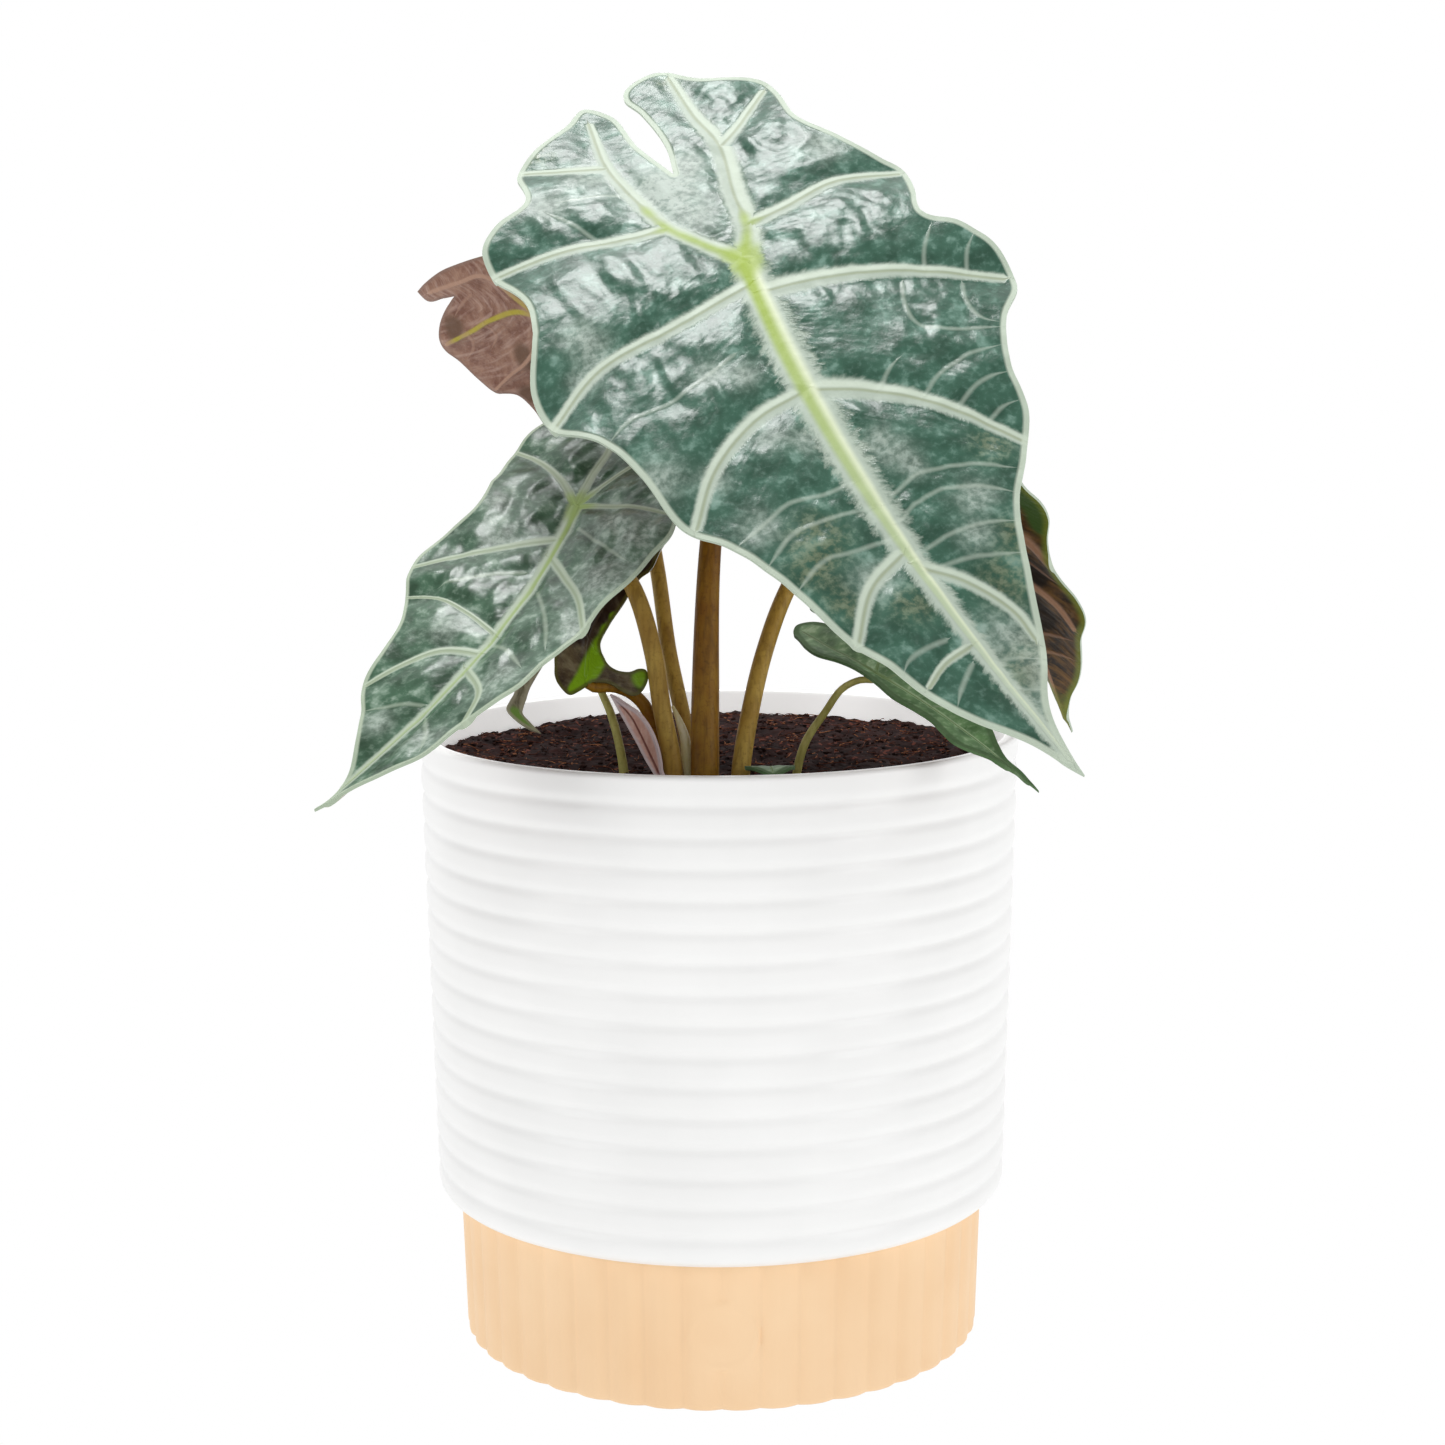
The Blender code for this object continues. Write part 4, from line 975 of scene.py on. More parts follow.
# Cells of each pattern in the span of the stored maps, 100 mm of blade
RIPPLE_CELLS = 34.0
LUMP_CELLS = 20.0
CLOUD_CELLS = 12.0
FLECK_CELLS = 48.0
ZONE_CELLS = 4.2
STAIN_COLOUR = "#96926c"
PAINTED_GLARE_COLOUR = "#b6c3b8"


def upper_skin(name, dark, mid, light, band, ridge, vein_shade_line, glow, rim, tooth=0.3, rim_width=1.0, roughness=0.3,
               ior=1.5, relief=1.0):
    """Waxy skin with feathered pale veins, a pale rim, mottling, ripples along the small veins and painted
    glare; veins get a painted highlight uphill, side veins painted shade downhill.
    """
    # The ridge colour is a painted highlight on the midrib's uphill side, and the rim colour also paints the
    # highlight on the side veins' uphill side. The colour after the ridge colour, a darker vein tone, is laid
    # on each side vein's downhill side as painted shade.
    material, tree, shader = new_material(name, roughness, ior)
    midrib, lateral, fine, zone, mark, plane, comb = leaf_maps(tree)
    ripples = add(tree, "TexNoise", {"Vector": comb, "Scale": RIPPLE_CELLS, "Detail": 1.0})
    lumps = add(tree, "TexNoise", {"Vector": plane, "Scale": LUMP_CELLS, "Detail": 1.0})
    clouds = add(tree, "TexNoise", {"Vector": plane, "Scale": CLOUD_CELLS, "Detail": 4.0, "Roughness": 0.55})
    cells = add(tree, "TexNoise", {"Vector": plane, "Scale": FLECK_CELLS, "Detail": 4.0, "Roughness": 0.6})
    zones = add(tree, "TexNoise", {"Vector": plane, "Scale": ZONE_CELLS, "Detail": 1.0})

    # Mottling, stains and painted glare between the veins
    speckle = add(tree, "MapRange", [cells, 0.3, 0.7], **SOFT)
    stain = add(tree, "Math", [mark[0], speckle], operation="MULTIPLY")
    glare_grain = add(tree, "MapRange", [cells, 0.32, 0.66, 0.3, 1.0], **SOFT)
    painted_glare = add(tree, "Math", [mark[1], glare_grain], operation="MULTIPLY")
    skin = coats(tree, dark, [
        (add(tree, "MapRange", [clouds, 0.36, 0.66]), mid),
        (add(tree, "MapRange", [clouds, 0.55, 0.72, 0, 0.55], **SOFT), light),
        (add(tree, "MapRange", [cells, 0.48, 0.72, 0, 0.22], **SOFT), light),
        (add(tree, "MapRange", [stain, 0.0, 0.9, 0, 0.34], **SOFT), STAIN_COLOUR),
        (add(tree, "MapRange", [painted_glare, 0, 1, 0, 0.7]), PAINTED_GLARE_COLOUR),
    ])

    # Side veins: a feathered band, a painted highlight on the uphill side and a darker vein line set on the
    # downhill side as painted shade
    fine_share = add(tree, "MapRange", [off_middle(tree, fine[0], fine[2]), 1.9, 0.1, 0, 0.42], **SOFT)
    side_band, side_cross = vein_profile(tree, lateral, tooth * 0.5)
    middle_band = vein_profile(tree, midrib, tooth)[0]
    band_share = add(tree, "Math", [side_band, middle_band], operation="MAXIMUM")
    lit_from = add(tree, "MapRange", [side_cross, -0.9, -0.35], **SOFT)
    lit_to = add(tree, "MapRange", [side_cross, 0.15, -0.2], **SOFT)
    side_lit = add(tree, "Math", [lit_from, lit_to], operation="MULTIPLY")
    lit_share = add(tree, "Math", [side_lit, 0.75], operation="MULTIPLY")
    side_half = add(tree, "MapRange", [mark[2], 0, 0.8, 0.6, 1.9], **SOFT)
    side_off = off_middle(tree, add(tree, "Math", [lateral[0], -0.3], operation="ADD"), side_half)
    side_reach = add(tree, "MapRange", [side_off, 1.4, 0.0, 0, 0.8], **SOFT)
    side_inner = add(tree, "MapRange", [side_cross, 1.1, 0.6], **SOFT)
    side_core_and_shade = add(tree, "Math", [side_reach, side_inner], operation="MULTIPLY")
    side_tint = add(tree, "Mix", {0: mark[2], 6: vein_shade_line, 7: glow}, **RGBA)

    # Midrib: its middle stripe narrows and pales away from the join, and its uphill side is a painted
    # highlight
    close = add(tree, "MapRange", [zone[1], 165, 5])
    core_width = add(tree, "MapRange", [close, 0, 1, 0.25, 0.42])
    core_half = add(tree, "Math", [midrib[2], core_width], operation="MULTIPLY")
    core_cross = add(tree, "Math", [midrib[0], core_half], operation="DIVIDE")
    core_off = add(tree, "Math", [core_cross], operation="ABSOLUTE")
    core_reach = add(tree, "MapRange", [core_off, 1.4, 0.5], **SOFT)
    ahead = add(tree, "MapRange", [midrib[1], -2.5, 0.5], **SOFT)
    middle_core = add(tree, "Math", [core_reach, ahead], operation="MULTIPLY")
    core_strength = add(tree, "MapRange", [close, 0, 0.4, 0.7, 1.0], **SOFT)
    core_share = add(tree, "Math", [middle_core, core_strength], operation="MULTIPLY")
    midrib_tint = add(tree, "Mix", {0: close, 6: rim, 7: glow}, **RGBA)
    core_downhill = add(tree, "MapRange", [core_cross, -0.9, 0.25], **SOFT)
    core_tint_and_highlight = add(tree, "Mix", {0: core_downhill, 6: ridge, 7: midrib_tint}, **RGBA)
    near_join = add(tree, "MapRange", [zone[1], 9, 3.5, 0, 0.9], **SOFT)
    joint = add(tree, "Math", [near_join, band_share], operation="MULTIPLY")
    rim_share = add(tree, "MapRange", [zone[0], 2.0 * rim_width, 1.1 * rim_width, 0, 0.85], **SOFT)
    skin = coats(tree, skin, [(fine_share, band), (band_share, band), (lit_share, rim),
                              (side_core_and_shade, side_tint), (core_share, core_tint_and_highlight), (joint, glow),
                              (rim_share, rim)])
    tree.links.new(skin, shader.inputs["Base Color"])

    # Veins, rim and the painted glare are duller than the skin, and calmer
    pale = add(tree, "Math", [band_share, rim_share], operation="MAXIMUM")
    dull_glare = add(tree, "MapRange", [mark[1], 0, 1, 0, 0.6], **SOFT)
    dull = add(tree, "Math", [pale, dull_glare], operation="MAXIMUM")
    satin = add(tree, "MapRange", [dull, 0, 1, roughness, roughness + 0.25], **SOFT)
    tree.links.new(satin, shader.inputs["Roughness"])
    stretches = add(tree, "MapRange", [zones, 0.4, 0.6, 0.4, 1.0], **SOFT)
    calm = add(tree, "MapRange", [dull, 0, 1, 1.0, 0.3], **SOFT)
    lively = add(tree, "Math", [stretches, calm], operation="MULTIPLY")
    rough = relief_of(tree, [(ripples, 0.4 * relief), (lumps, 0.45 * relief)])
    rough = add(tree, "Math", [rough, lively], operation="MULTIPLY")
    height = relief_of(tree, [(rough, 1.0), (cells, 0.12 * relief), (fine_share, 0.12), (middle_core, 0.15),
                              (side_lit, 0.08), (band_share, 0.05)])
    bump = add(tree, "Bump", {"Height": height, "Distance": MM, "Strength": 1.0}, out="Normal")
    tree.links.new(bump, shader.inputs["Normal"])
    return material


# %% [markdown]
# The underside is purple-brown and softer, with the veins standing out as lighter ribs. The young and the
# hidden leaves are seen from this side.


# %% Underside of a blade
COMBED_CELLS = 45.0
GRAIN_CELLS = 90.0


def under_skin(name, dark, mid, light, vein_tint, rim, glow="#8fb52a", deep="#2a1b16", stripe=0.5,
               rim_width=1.0, patches=1.0, roughness=0.42):
    """Satin underside: clouds of colour, stripes between the small veins, ribs, bright and dark patches."""
    material, tree, shader = new_material(name, roughness, 1.45)
    midrib, lateral, fine, zone, mark, plane, comb = leaf_maps(tree)
    mark = [add(tree, "Math", [share, patches], operation="MULTIPLY") for share in mark]
    ratios = [off_middle(tree, vein[0], vein[2]) for vein in (midrib, lateral)]
    nearest = add(tree, "Math", ratios, operation="MINIMUM")
    vein_share = add(tree, "MapRange", [nearest, 0.9, 0.3, 0, 0.85], **SOFT)
    fine_share = add(tree, "MapRange", [off_middle(tree, fine[0], fine[2]), 1.5, 0.3, 0, 0.4], **SOFT)
    combed = add(tree, "TexNoise", {"Vector": comb, "Scale": COMBED_CELLS, "Detail": 3.0})
    clouds = add(tree, "TexNoise", {"Vector": plane, "Scale": CLOUD_CELLS, "Detail": 4.0, "Roughness": 0.65})
    cells = add(tree, "TexNoise", {"Vector": plane, "Scale": GRAIN_CELLS, "Detail": 2.0})
    rib_tint = add(tree, "Mix", {0: mark[0], 6: vein_tint, 7: glow}, **RGBA)
    skin = coats(tree, dark, [
        (add(tree, "MapRange", [clouds, 0.38, 0.64]), mid),
        (add(tree, "MapRange", [combed, 0.45, 0.72, 0, stripe], **SOFT), light),
        (add(tree, "MapRange", [cells, 0.5, 0.75, 0, 0.2], **SOFT), light),
        (add(tree, "MapRange", [mark[2], 0.2, 0.8, 0, 0.9], **SOFT), deep),
        (fine_share, vein_tint),
        (vein_share, rib_tint),
        (add(tree, "MapRange", [mark[1], 0.25, 0.75, 0, 0.95], **SOFT), glow),
        (add(tree, "MapRange", [zone[0], 1.2 * rim_width, 0.4, 0, 0.8], **SOFT), rim),
    ])
    tree.links.new(skin, shader.inputs["Base Color"])
    height = relief_of(tree, [(combed, 0.5), (cells, 0.15), (fine_share, 0.3), (vein_share, 0.3)])
    bump = add(tree, "Bump", {"Height": height, "Distance": MM, "Strength": 0.8}, out="Normal")
    tree.links.new(bump, shader.inputs["Normal"])
    return material


# %% Leaf finishes
POLLY_GREEN = upper_skin("waxy blue-green leaf", "#224a38", "#3e6a57", "#8aab9e", "#bcc9ba", "#dfe8c8",
                         "#98a384", "#93ad10", "#c3d0bd")
LEFT_GREEN = upper_skin("waxy grey-green leaf", "#1e4028", "#4c7258", "#b4c6b6", "#b8c7b2", "#b6c4aa",
                        "#8f9f7e", "#8faa50", "#b3c2aa", tooth=0.12, rim_width=0.6, roughness=0.28,
                        relief=0.5)
PLAIN_GREEN = upper_skin("young green leaf", "#3f6436", "#76a069", "#c6dab6", "#9dba90", "#b0c89e", "#7f9672",
                         "#6b8850", "#4c6842", tooth=0.1, roughness=0.5, ior=1.35, relief=0.5)
GLOSSY_OLIVE = under_skin("glossy olive-brown leaf", "#33251c", "#6c6044", "#a09a7a", "#4a3c2c", "#5b5a28",
                          glow="#86b814", deep="#24140f", stripe=0.5, roughness=0.3)
PURPLE_UNDER = under_skin("purple-brown underside", "#4a2a26", "#6b4a43", "#8b7068", "#a58c76", "#b9b8a0",
                          patches=0.0)
MAUVE_UNDER = under_skin("mauve underside", "#6e422f", "#9c7762", "#c0a294", "#b08a74", "#85685a",
                         glow="#b0a41c", deep="#5c3c22")
OLIVE_UNDER = under_skin("dark olive underside", "#241a10", "#523a1c", "#86602c", "#ac8468", "#76822a",
                         glow="#3c5a24", deep="#17130e", stripe=0.6, rim_width=2.2)
TAUPE_UNDER = under_skin("taupe underside", "#5f5a46", "#8c8669", "#b0ab90", "#6f6a50", "#a09c84",
                         glow="#6f9440")

# %% [markdown]
# The front leaf is the largest: a broad arrowhead whose two back lobes stand up behind the join. Its veins
# are drawn from the join outwards, and the finest ones run between them towards the edge.

# %% Front leaf
FRONT = Leaf(
    "front_blade", join=(7.4, -22.0, 295.7), tip=(85.4, -118.0, 174.5), face=(0.05, -0.75, 0.58),
    camber=8.0, vee=0.12, arch=0.0022, bow=-10.0, half=60.0, wave=1.5, wave_length=51.0,
    wave_start=(0.28, 1.75), pillow=1.6, reach=6.0, rib=1.3, grid=1.1, ridge=0.33, crinkle=0.85,
    outline=[
        [(0, 173.2), (-4.5, 162.5), (-14.5, 150.5), (-22.5, 130.5), (-28, 117), (-32, 102), (-38, 87),
         (-46.5, 73.5), (-49.5, 57.5), (-54.5, 43), (-64, 30), (-66, 18), (-62, 3), (-57.5, -12.5),
         (-59.5, -31), (-58, -39), (-51, -45.5), (-40.5, -50), (-36.5, -64), (-28.5, -71.5),
         (-15.5, -78.5), (-6.5, -85), (-1.5, -78), (-2.5, -58), (0, -41.5)],
        [(0, -41.5), (4, -55), (5.5, -73), (5, -82.5), (8.5, -87.5), (20.5, -90), (27.5, -79),
         (42.5, -68.5), (40, -45.5), (45, -33), (51.5, -19.5), (55, -13), (50, 7.5), (59, 15.5), (66, 26),
         (66, 40), (57, 51), (50.5, 65.5), (48, 80), (40, 92.5), (30.5, 104.5), (21.5, 123.5),
         (13.5, 141), (4, 156), (0, 173.2)],
    ],
    veins=[
        ((5.8, 7.0, 5.8, 3.3, 2.2), [(0, 0), (0, 168)]),
        ((4.4, 3.4, 2.6, 1.5), [(0, 0), (-7.5, -12), (-12, -21), (-14, -38), (-14, -54), (-8, -78)]),
        ((2.6, 1.8), [(-14, -54), (-25, -59), (-35, -65)]),
        ((3.0, 2.6, 2.0), [(-12, -21), (-22, -22), (-40, -27), (-59, -29)]),
        ((5.0, 4.2, 3.4, 1.8), [(0, 0), (6.5, -11), (10, -25), (16.5, -46), (17.5, -64), (21, -86)]),
        ((2.8, 1.6), [(16.5, -46), (24, -51), (40, -65)]),
        ((3.4, 2.6, 1.8), [(7, -12), (19, -13), (35, -16), (53, -12)]),
        ((4.6, 2.8, 2.0), [(1, 13), (14, 16), (35, 23), (64, 36)]),
        ((4.6, 2.9, 2.0), [(2, 50), (14, 57), (28, 69), (43, 88)]),
        ((2.9, 1.7), [(0, 108), (8, 118), (13, 130), (13, 138)]),
        ((3.4, 2.8, 2.0), [(-1, 9), (-24, 15), (-48, 19), (-64, 30)]),
        ((3.4, 2.9, 2.0), [(0, 49), (-16, 53), (-32, 63), (-43, 76)]),
        ((2.9, 1.7), [(-2, 104), (-14, 110), (-25, 122)]),
        ((1.6, 0.9), [(-2, 133), (-10, 135), (-17, 139)]),
    ],
    fine=[
        [(36.5, 28), (34, 35.5), (34, 43), (38.5, 47.5), (54.5, 54)],
        [(52, 34), (50, 40.5), (50.5, 48), (54.5, 52)],
        [(26, 65), (32, 61), (41, 59), (51, 59.5)], [(32, 72), (37.5, 69), (44, 67.5), (49, 68)],
        [(37.5, 78.5), (42.5, 76.5), (47.5, 76.5)], [(16.5, 58), (21, 54), (26, 51.5)],
        [(44, 26.5), (46, 20.5), (51.5, 12.5)], [(55, 30.5), (57.5, 24.5), (61.5, 20)],
        [(2, 89.5), (12, 86), (24, 88.5), (36, 95)], [(1.5, 95.5), (13, 92.5), (23, 95), (31.5, 101.5)],
        [(0, 105.5), (11, 105), (20.5, 106), (27.5, 109)], [(1, 110.5), (10, 112), (17, 114.5), (24, 117.5)],
        [(-2, 80.5), (-10.5, 81.5), (-20.5, 80.5), (-28, 83.5), (-37.5, 86.5)],
        [(-1.5, 89), (-12.5, 88.5), (-23, 89), (-34, 95.5)],
        [(-0.5, 99), (-12.5, 99.5), (-20, 99), (-31, 104.5)],
        [(-13.5, 31.5), (-27.5, 37), (-36, 39.5), (-45.5, 39.5), (-53.5, 44)],
        [(-5.5, 129.5), (-12.5, 130), (-17.5, 131.5), (-20.5, 134)], [(-1, 139.5), (3, 139.5), (10.5, 143.5)],
        [(-1, 145.5), (1, 147), (6.5, 151)], [(-4, 137.5), (-11, 143), (-15, 147)],
        [(-30, -25), (-33, -34), (-38, -44)], [(-15, -40), (-24, -43), (-34, -46)],
    ],
    stains=[(-18, 92, 8), (-8, 118, 6), (26, 112, 6), (-24, 100, 6), (16, 122, 8), (4, 146, 6), (20, -84, 5),
            (-22, 112, 5), (34, 86, 6), (-28, -69, 5), (10, 141, 6)],
    # The second list of spots paints glare, a pale silvery haze with bright flecks, on the upper side
    glare_and_green_spots=[(-4, -22, 9), (-9, -36, 8), (-3, -38, 9), (5, -44, 6), (-20, -52, 7), (-36, -45, 6), (0, -60, 5),
            (-50, 6, 5), (-47, 14, 5), (-52, 20, 4), (-22, 35, 4), (-14, 39, 4), (9, 72, 3.5), (11, 78, 4),
            (13, 84, 3), (7, 134, 6), (11, 145, 6), (5, 153, 5), (-12, 108, 5), (-30, 84, 5), (22, 98, 5),
            (16, 108, 4), (-16, 60, 4), (-8, 64, 4), (-34, 66, 4), (-46, 60, 6), (40, -30, 6)],
    warms=[(-2, -2, 5), (-5, -8, 5), (-9, -15, 4.5), (-12, -22, 4), (-13, -30, 3), (4, -7, 4), (8, -14, 3.5)])

make_blade(FRONT, "front_leaf_blade", POLLY_GREEN, PURPLE_UNDER)

# %% [markdown]
# The left leaf hangs lower and is seen at a slant, with more shine between its veins.

# %% Left leaf
LEFT = Leaf(
    "left_blade", join=(-37.0, -30.0, 232.0), tip=(-96.4, -105.0, 164.8), face=(-0.30, -0.55, 0.78),
    camber=3.0, vee=0.2, arch=0.003, bow=12.0, half=36.0, wave=1.0, wave_length=34.0,
    wave_start=(1.0, 0.3), pillow=1.1, reach=4.5, rib=1.0, grid=1.0, ridge=0.3, crinkle=1.2,
    outline=[
        [(0, 116.9), (0, 111), (-2, 105), (-8, 96), (-14, 88), (-21, 79.5), (-23.5, 68.5), (-26.5, 57.5),
         (-32, 47.5), (-36, 36.5), (-32.5, 22), (-27.5, 10.5), (-27.5, -2.5), (-31.5, -15.5), (-31, -28),
         (-28, -39), (-20, -45), (-11, -43), (-5, -36), (-1.5, -27)],
        [(-1.5, -27), (4, -37), (11, -42), (18, -38), (24, -26), (30, -12), (34, 0), (35.5, 9.5), (32, 18.5),
         (30, 32), (26.5, 42.5), (25, 53.5), (23, 62.5), (22.5, 71), (19, 77), (15, 84), (15, 93),
         (13, 98.5), (8, 105), (2.5, 110), (0, 116.9)],
    ],
    veins=[
        ((2.8, 1.2), [(0, 0), (0, 113)]),
        ((1.6, 0.9), [(0, 0), (-10, -8), (-22, -14), (-31, -16)]),
        ((1.8, 0.9), [(0, 0), (-4, -13), (-7, -26), (-15, -41)]),
        ((1.8, 0.9), [(0, 0), (2, -12), (6, -25), (12, -38)]),
        ((1.6, 0.9), [(0, 0), (11, 0), (21, 0), (33, 2)]),
        ((1.9, 1.0), [(-1, 15), (-12, 22), (-23, 29), (-36, 39)]),
        ((1.9, 1.0), [(0, 22), (9, 30), (18, 38), (26, 49)]),
        ((1.0, 0.6), [(0, 53), (-11, 49), (-22, 47), (-31, 49)]),
        ((1.8, 0.9), [(0, 60), (-10, 63), (-16, 71), (-20, 80)]),
        ((1.5, 0.8), [(0, 66), (11, 74), (15, 84)]),
    ],
    fine=[
        [(0, 56), (10, 60), (18, 65)], [(-2, 80), (-9, 84), (-14, 88)], [(2, 84), (8, 90), (12, 96)],
        [(-4, 30), (-14, 36), (-24, 44)], [(3, 36), (12, 46), (20, 58)], [(4, 10), (14, 16), (26, 22)],
    ],
    # The second list of spots paints glare, a pale silvery haze with bright flecks, on the upper side
    glare_and_green_spots=[(22, 31, 8), (26, 13, 8), (23, 48, 6), (14, 70, 6), (9, 92, 5), (-16, 21, 5), (-13, 55, 5),
            (-22, 8, 4), (-8, 90, 4), (16, 8, 5)],
    warms=[(0, 0, 3.5)])

make_blade(LEFT, "left_leaf_blade", LEFT_GREEN, PURPLE_UNDER)

# %% [markdown]
# Two leaves stand behind. The one at the upper left turns its mauve underside to the viewer, and the one at
# the right shows a dark olive underside with orange-brown veins.

# %% Leaves behind
BACK_LEFT = Leaf(
    "back_left_blade", join=(-33.7, 45.0, 278.1), tip=(-89.1, 72.0, 289.4), face=(0.25, 0.85, 0.45),
    camber=-2.0, vee=0.08, arch=0.001, half=30.0, wave=0.8, wave_length=26.0, wave_start=(0.5, 2.0),
    pillow=1.0, reach=4.0, rib=0.8, grid=1.0, ridge=0.2, crinkle=0.4,
    outline=[
        [(0, 62.5), (-2, 59), (0.5, 52.5), (2, 48.5)],
        [(2, 48.5), (-4, 53), (-10, 56), (-15, 56.5), (-18, 55), (-21, 50.5), (-25, 45), (-27.5, 38),
         (-27.5, 31), (-32, 26), (-38.5, 21), (-41, 10), (-38, -2), (-30, -12), (-19, -17), (-9, -15),
         (-3, -10), (0, -6)],
        [(0, -6), (4, -12), (10, -18), (17, -17), (22, -9), (24, 2), (23, 14), (20, 26), (16.5, 37.5),
         (12, 47), (8.5, 53), (4, 58.5), (0, 62.5)],
    ],
    veins=[
        ((1.5, 1.0), [(0, 0), (3, 20), (11, 36.5), (7, 46), (1.5, 57)]),
        ((1.3, 0.8), [(0, 0), (-10, -6), (-22, -12)]),
        ((1.3, 0.8), [(0, 2), (-14, 4), (-38, 6)]),
        ((1.2, 0.7), [(0, 15), (-15, 25.5), (-20.5, 31.5), (-26, 36.5)]),
        ((1.4, 0.9), [(1, 17), (2, 25.5), (-2.5, 35.5), (-8, 43), (-15, 53.5)]),
        ((1.3, 0.8), [(0, 0), (8, -8), (12, -15)]),
        ((1.3, 0.8), [(0, 4), (10, 7), (23, 10)]),
        ((1.3, 0.8), [(0, 20), (10, 26), (19, 29)]),
    ],
    fine=[
        [(-4, 38), (-8, 35), (-14, 38)], [(-9, 44), (-14, 44), (-20, 48)], [(4, 42), (0, 46), (-6, 50)],
        [(-4, 20), (-16, 16), (-30, 16)],
    ],
    stains=[(2, 26, 5), (-2, 34, 5), (-7, 42, 4.5), (-12, 49, 3)],
    warms=[(-9, 50, 5), (-13, 26, 4.5), (-27, 27, 4), (-20, 20, 4)])

BACK_RIGHT = Leaf(
    "back_right_blade", join=(66.7, 22.0, 242.9), tip=(103.6, 46.0, 160.1), face=(0.65, 0.65, 0.40),
    camber=3.0, vee=0.10, arch=0.002, half=20.0, wave=0.8, wave_length=28.0, wave_start=(0.6, 2.2),
    pillow=0.9, reach=4.0, rib=0.8, grid=1.0, ridge=0.2, crinkle=0.4,
    outline=[
        [(0, 93.8), (-1, 88), (-3.5, 82.5), (-7.5, 78), (-11, 72.5), (-14.5, 64), (-18, 58.5),
         (-17.5, 51.5), (-15.5, 44), (-15.5, 38), (-16.5, 31), (-19.5, 24.5), (-20, 18.5), (-17.5, 11),
         (-20, 3), (-21.5, -6), (-18, -16), (-11, -20), (-5, -15), (0, -8)],
        [(0, -8), (5, -16), (12, -21), (19, -17), (23, -6), (22, 6), (19, 17), (20, 28), (17.5, 40),
         (16, 52), (11, 62), (6, 70), (3, 75), (1, 80.5), (0, 93.8)],
    ],
    veins=[
        ((1.6, 0.6), [(0, 0), (0, 88)]),
        ((1.3, 0.8), [(0, 0), (-8, -8), (-14, -16)]),
        ((1.3, 0.8), [(0, 4), (-10, 6), (-20, 4)]),
        ((3.2, 1.8), [(0, 23), (-10, 30), (-15.5, 39)]),
        ((2.4, 1.2), [(0, 40), (-7, 46), (-11, 51.5), (-14.5, 60)]),
        ((1.3, 0.8), [(0, 0), (8, -8), (14, -17)]),
        ((1.3, 0.8), [(0, 6), (11, 9), (21, 6)]),
        ((1.3, 0.8), [(0, 22), (10, 25), (19, 28)]),
        ((1.3, 0.8), [(0, 44), (8, 50), (15, 54)]),
    ],
    fine=[
        [(0, 60), (-6, 62), (-12.5, 64)], [(0, 66), (-6, 68.5), (-11, 71)],
        [(0, 32), (-8, 38), (-15, 46)], [(0, 10), (-9, 13), (-18, 14)], [(0, 34), (9, 40), (16, 44)],
    ],
    glare_and_green_spots=[(-18, 0, 6), (-17, 9, 6), (-18, 18, 6), (-17, 26, 4.5)],
    warms=[(-5, 38, 5), (-9, 42, 4), (-2, 52, 5), (-5, 57, 4)])

make_blade(BACK_LEFT, "back_left_leaf_blade", POLLY_GREEN, MAUVE_UNDER)
make_blade(BACK_RIGHT, "back_right_leaf_blade", POLLY_GREEN, OLIVE_UNDER)

# %% [markdown]
# The small leaves: a narrow green one over the rim, one that curls up into a cup, one whose tip droops below
# the left leaf, and a seedling at the front of the potting mix.

# %% Small leaves
LOW_RIGHT = Leaf(
    "low_right_blade", join=(41.2, -39.0, 189.2), tip=(78.9, -84.0, 165.2), face=(0.0, -0.42, 0.90),
    camber=2.0, vee=0.18, half=14.0, pillow=0.4, reach=2.5, rib=0.6, grid=0.7, ridge=0.2, crinkle=0.2,
    outline=[
        [(0, 63.4), (0, 58), (0, 54), (-2, 48), (-5, 43.5), (-6.7, 39), (-6, 33), (-5, 28), (-5.3, 22),
         (-6, 14), (-4.5, 6), (-3.5, 0), (-3.2, -6), (-4, -11), (-6, -17), (-5, -23), (-2, -30),
         (0.5, -35.5), (3.5, -37.5), (6.5, -35), (8, -27), (7, -16), (5, -8)],
        [(5, -8), (8.5, -18), (10, -32), (12, -43), (15.5, -42), (18, -30), (16.5, -14), (14.5, -2),
         (14.5, 8), (12.5, 18), (10, 28), (6.5, 37), (2.8, 45), (1.3, 50), (1.2, 56), (0, 63.4)],
    ],
    veins=[
        ((0.8, 0.4), [(0, 0), (0, 58)]),
        ((0.6, 0.4), [(0, 0), (0.5, -12), (0.5, -18), (2, -33)]),
        ((0.6, 0.4), [(0, 0), (7, -7), (12, -18), (14, -34)]),
        ((0.5, 0.3), [(0, 4), (6, 6), (13, 10)]),
        ((0.5, 0.3), [(0, 22), (5, 26), (9, 31)]),
    ])

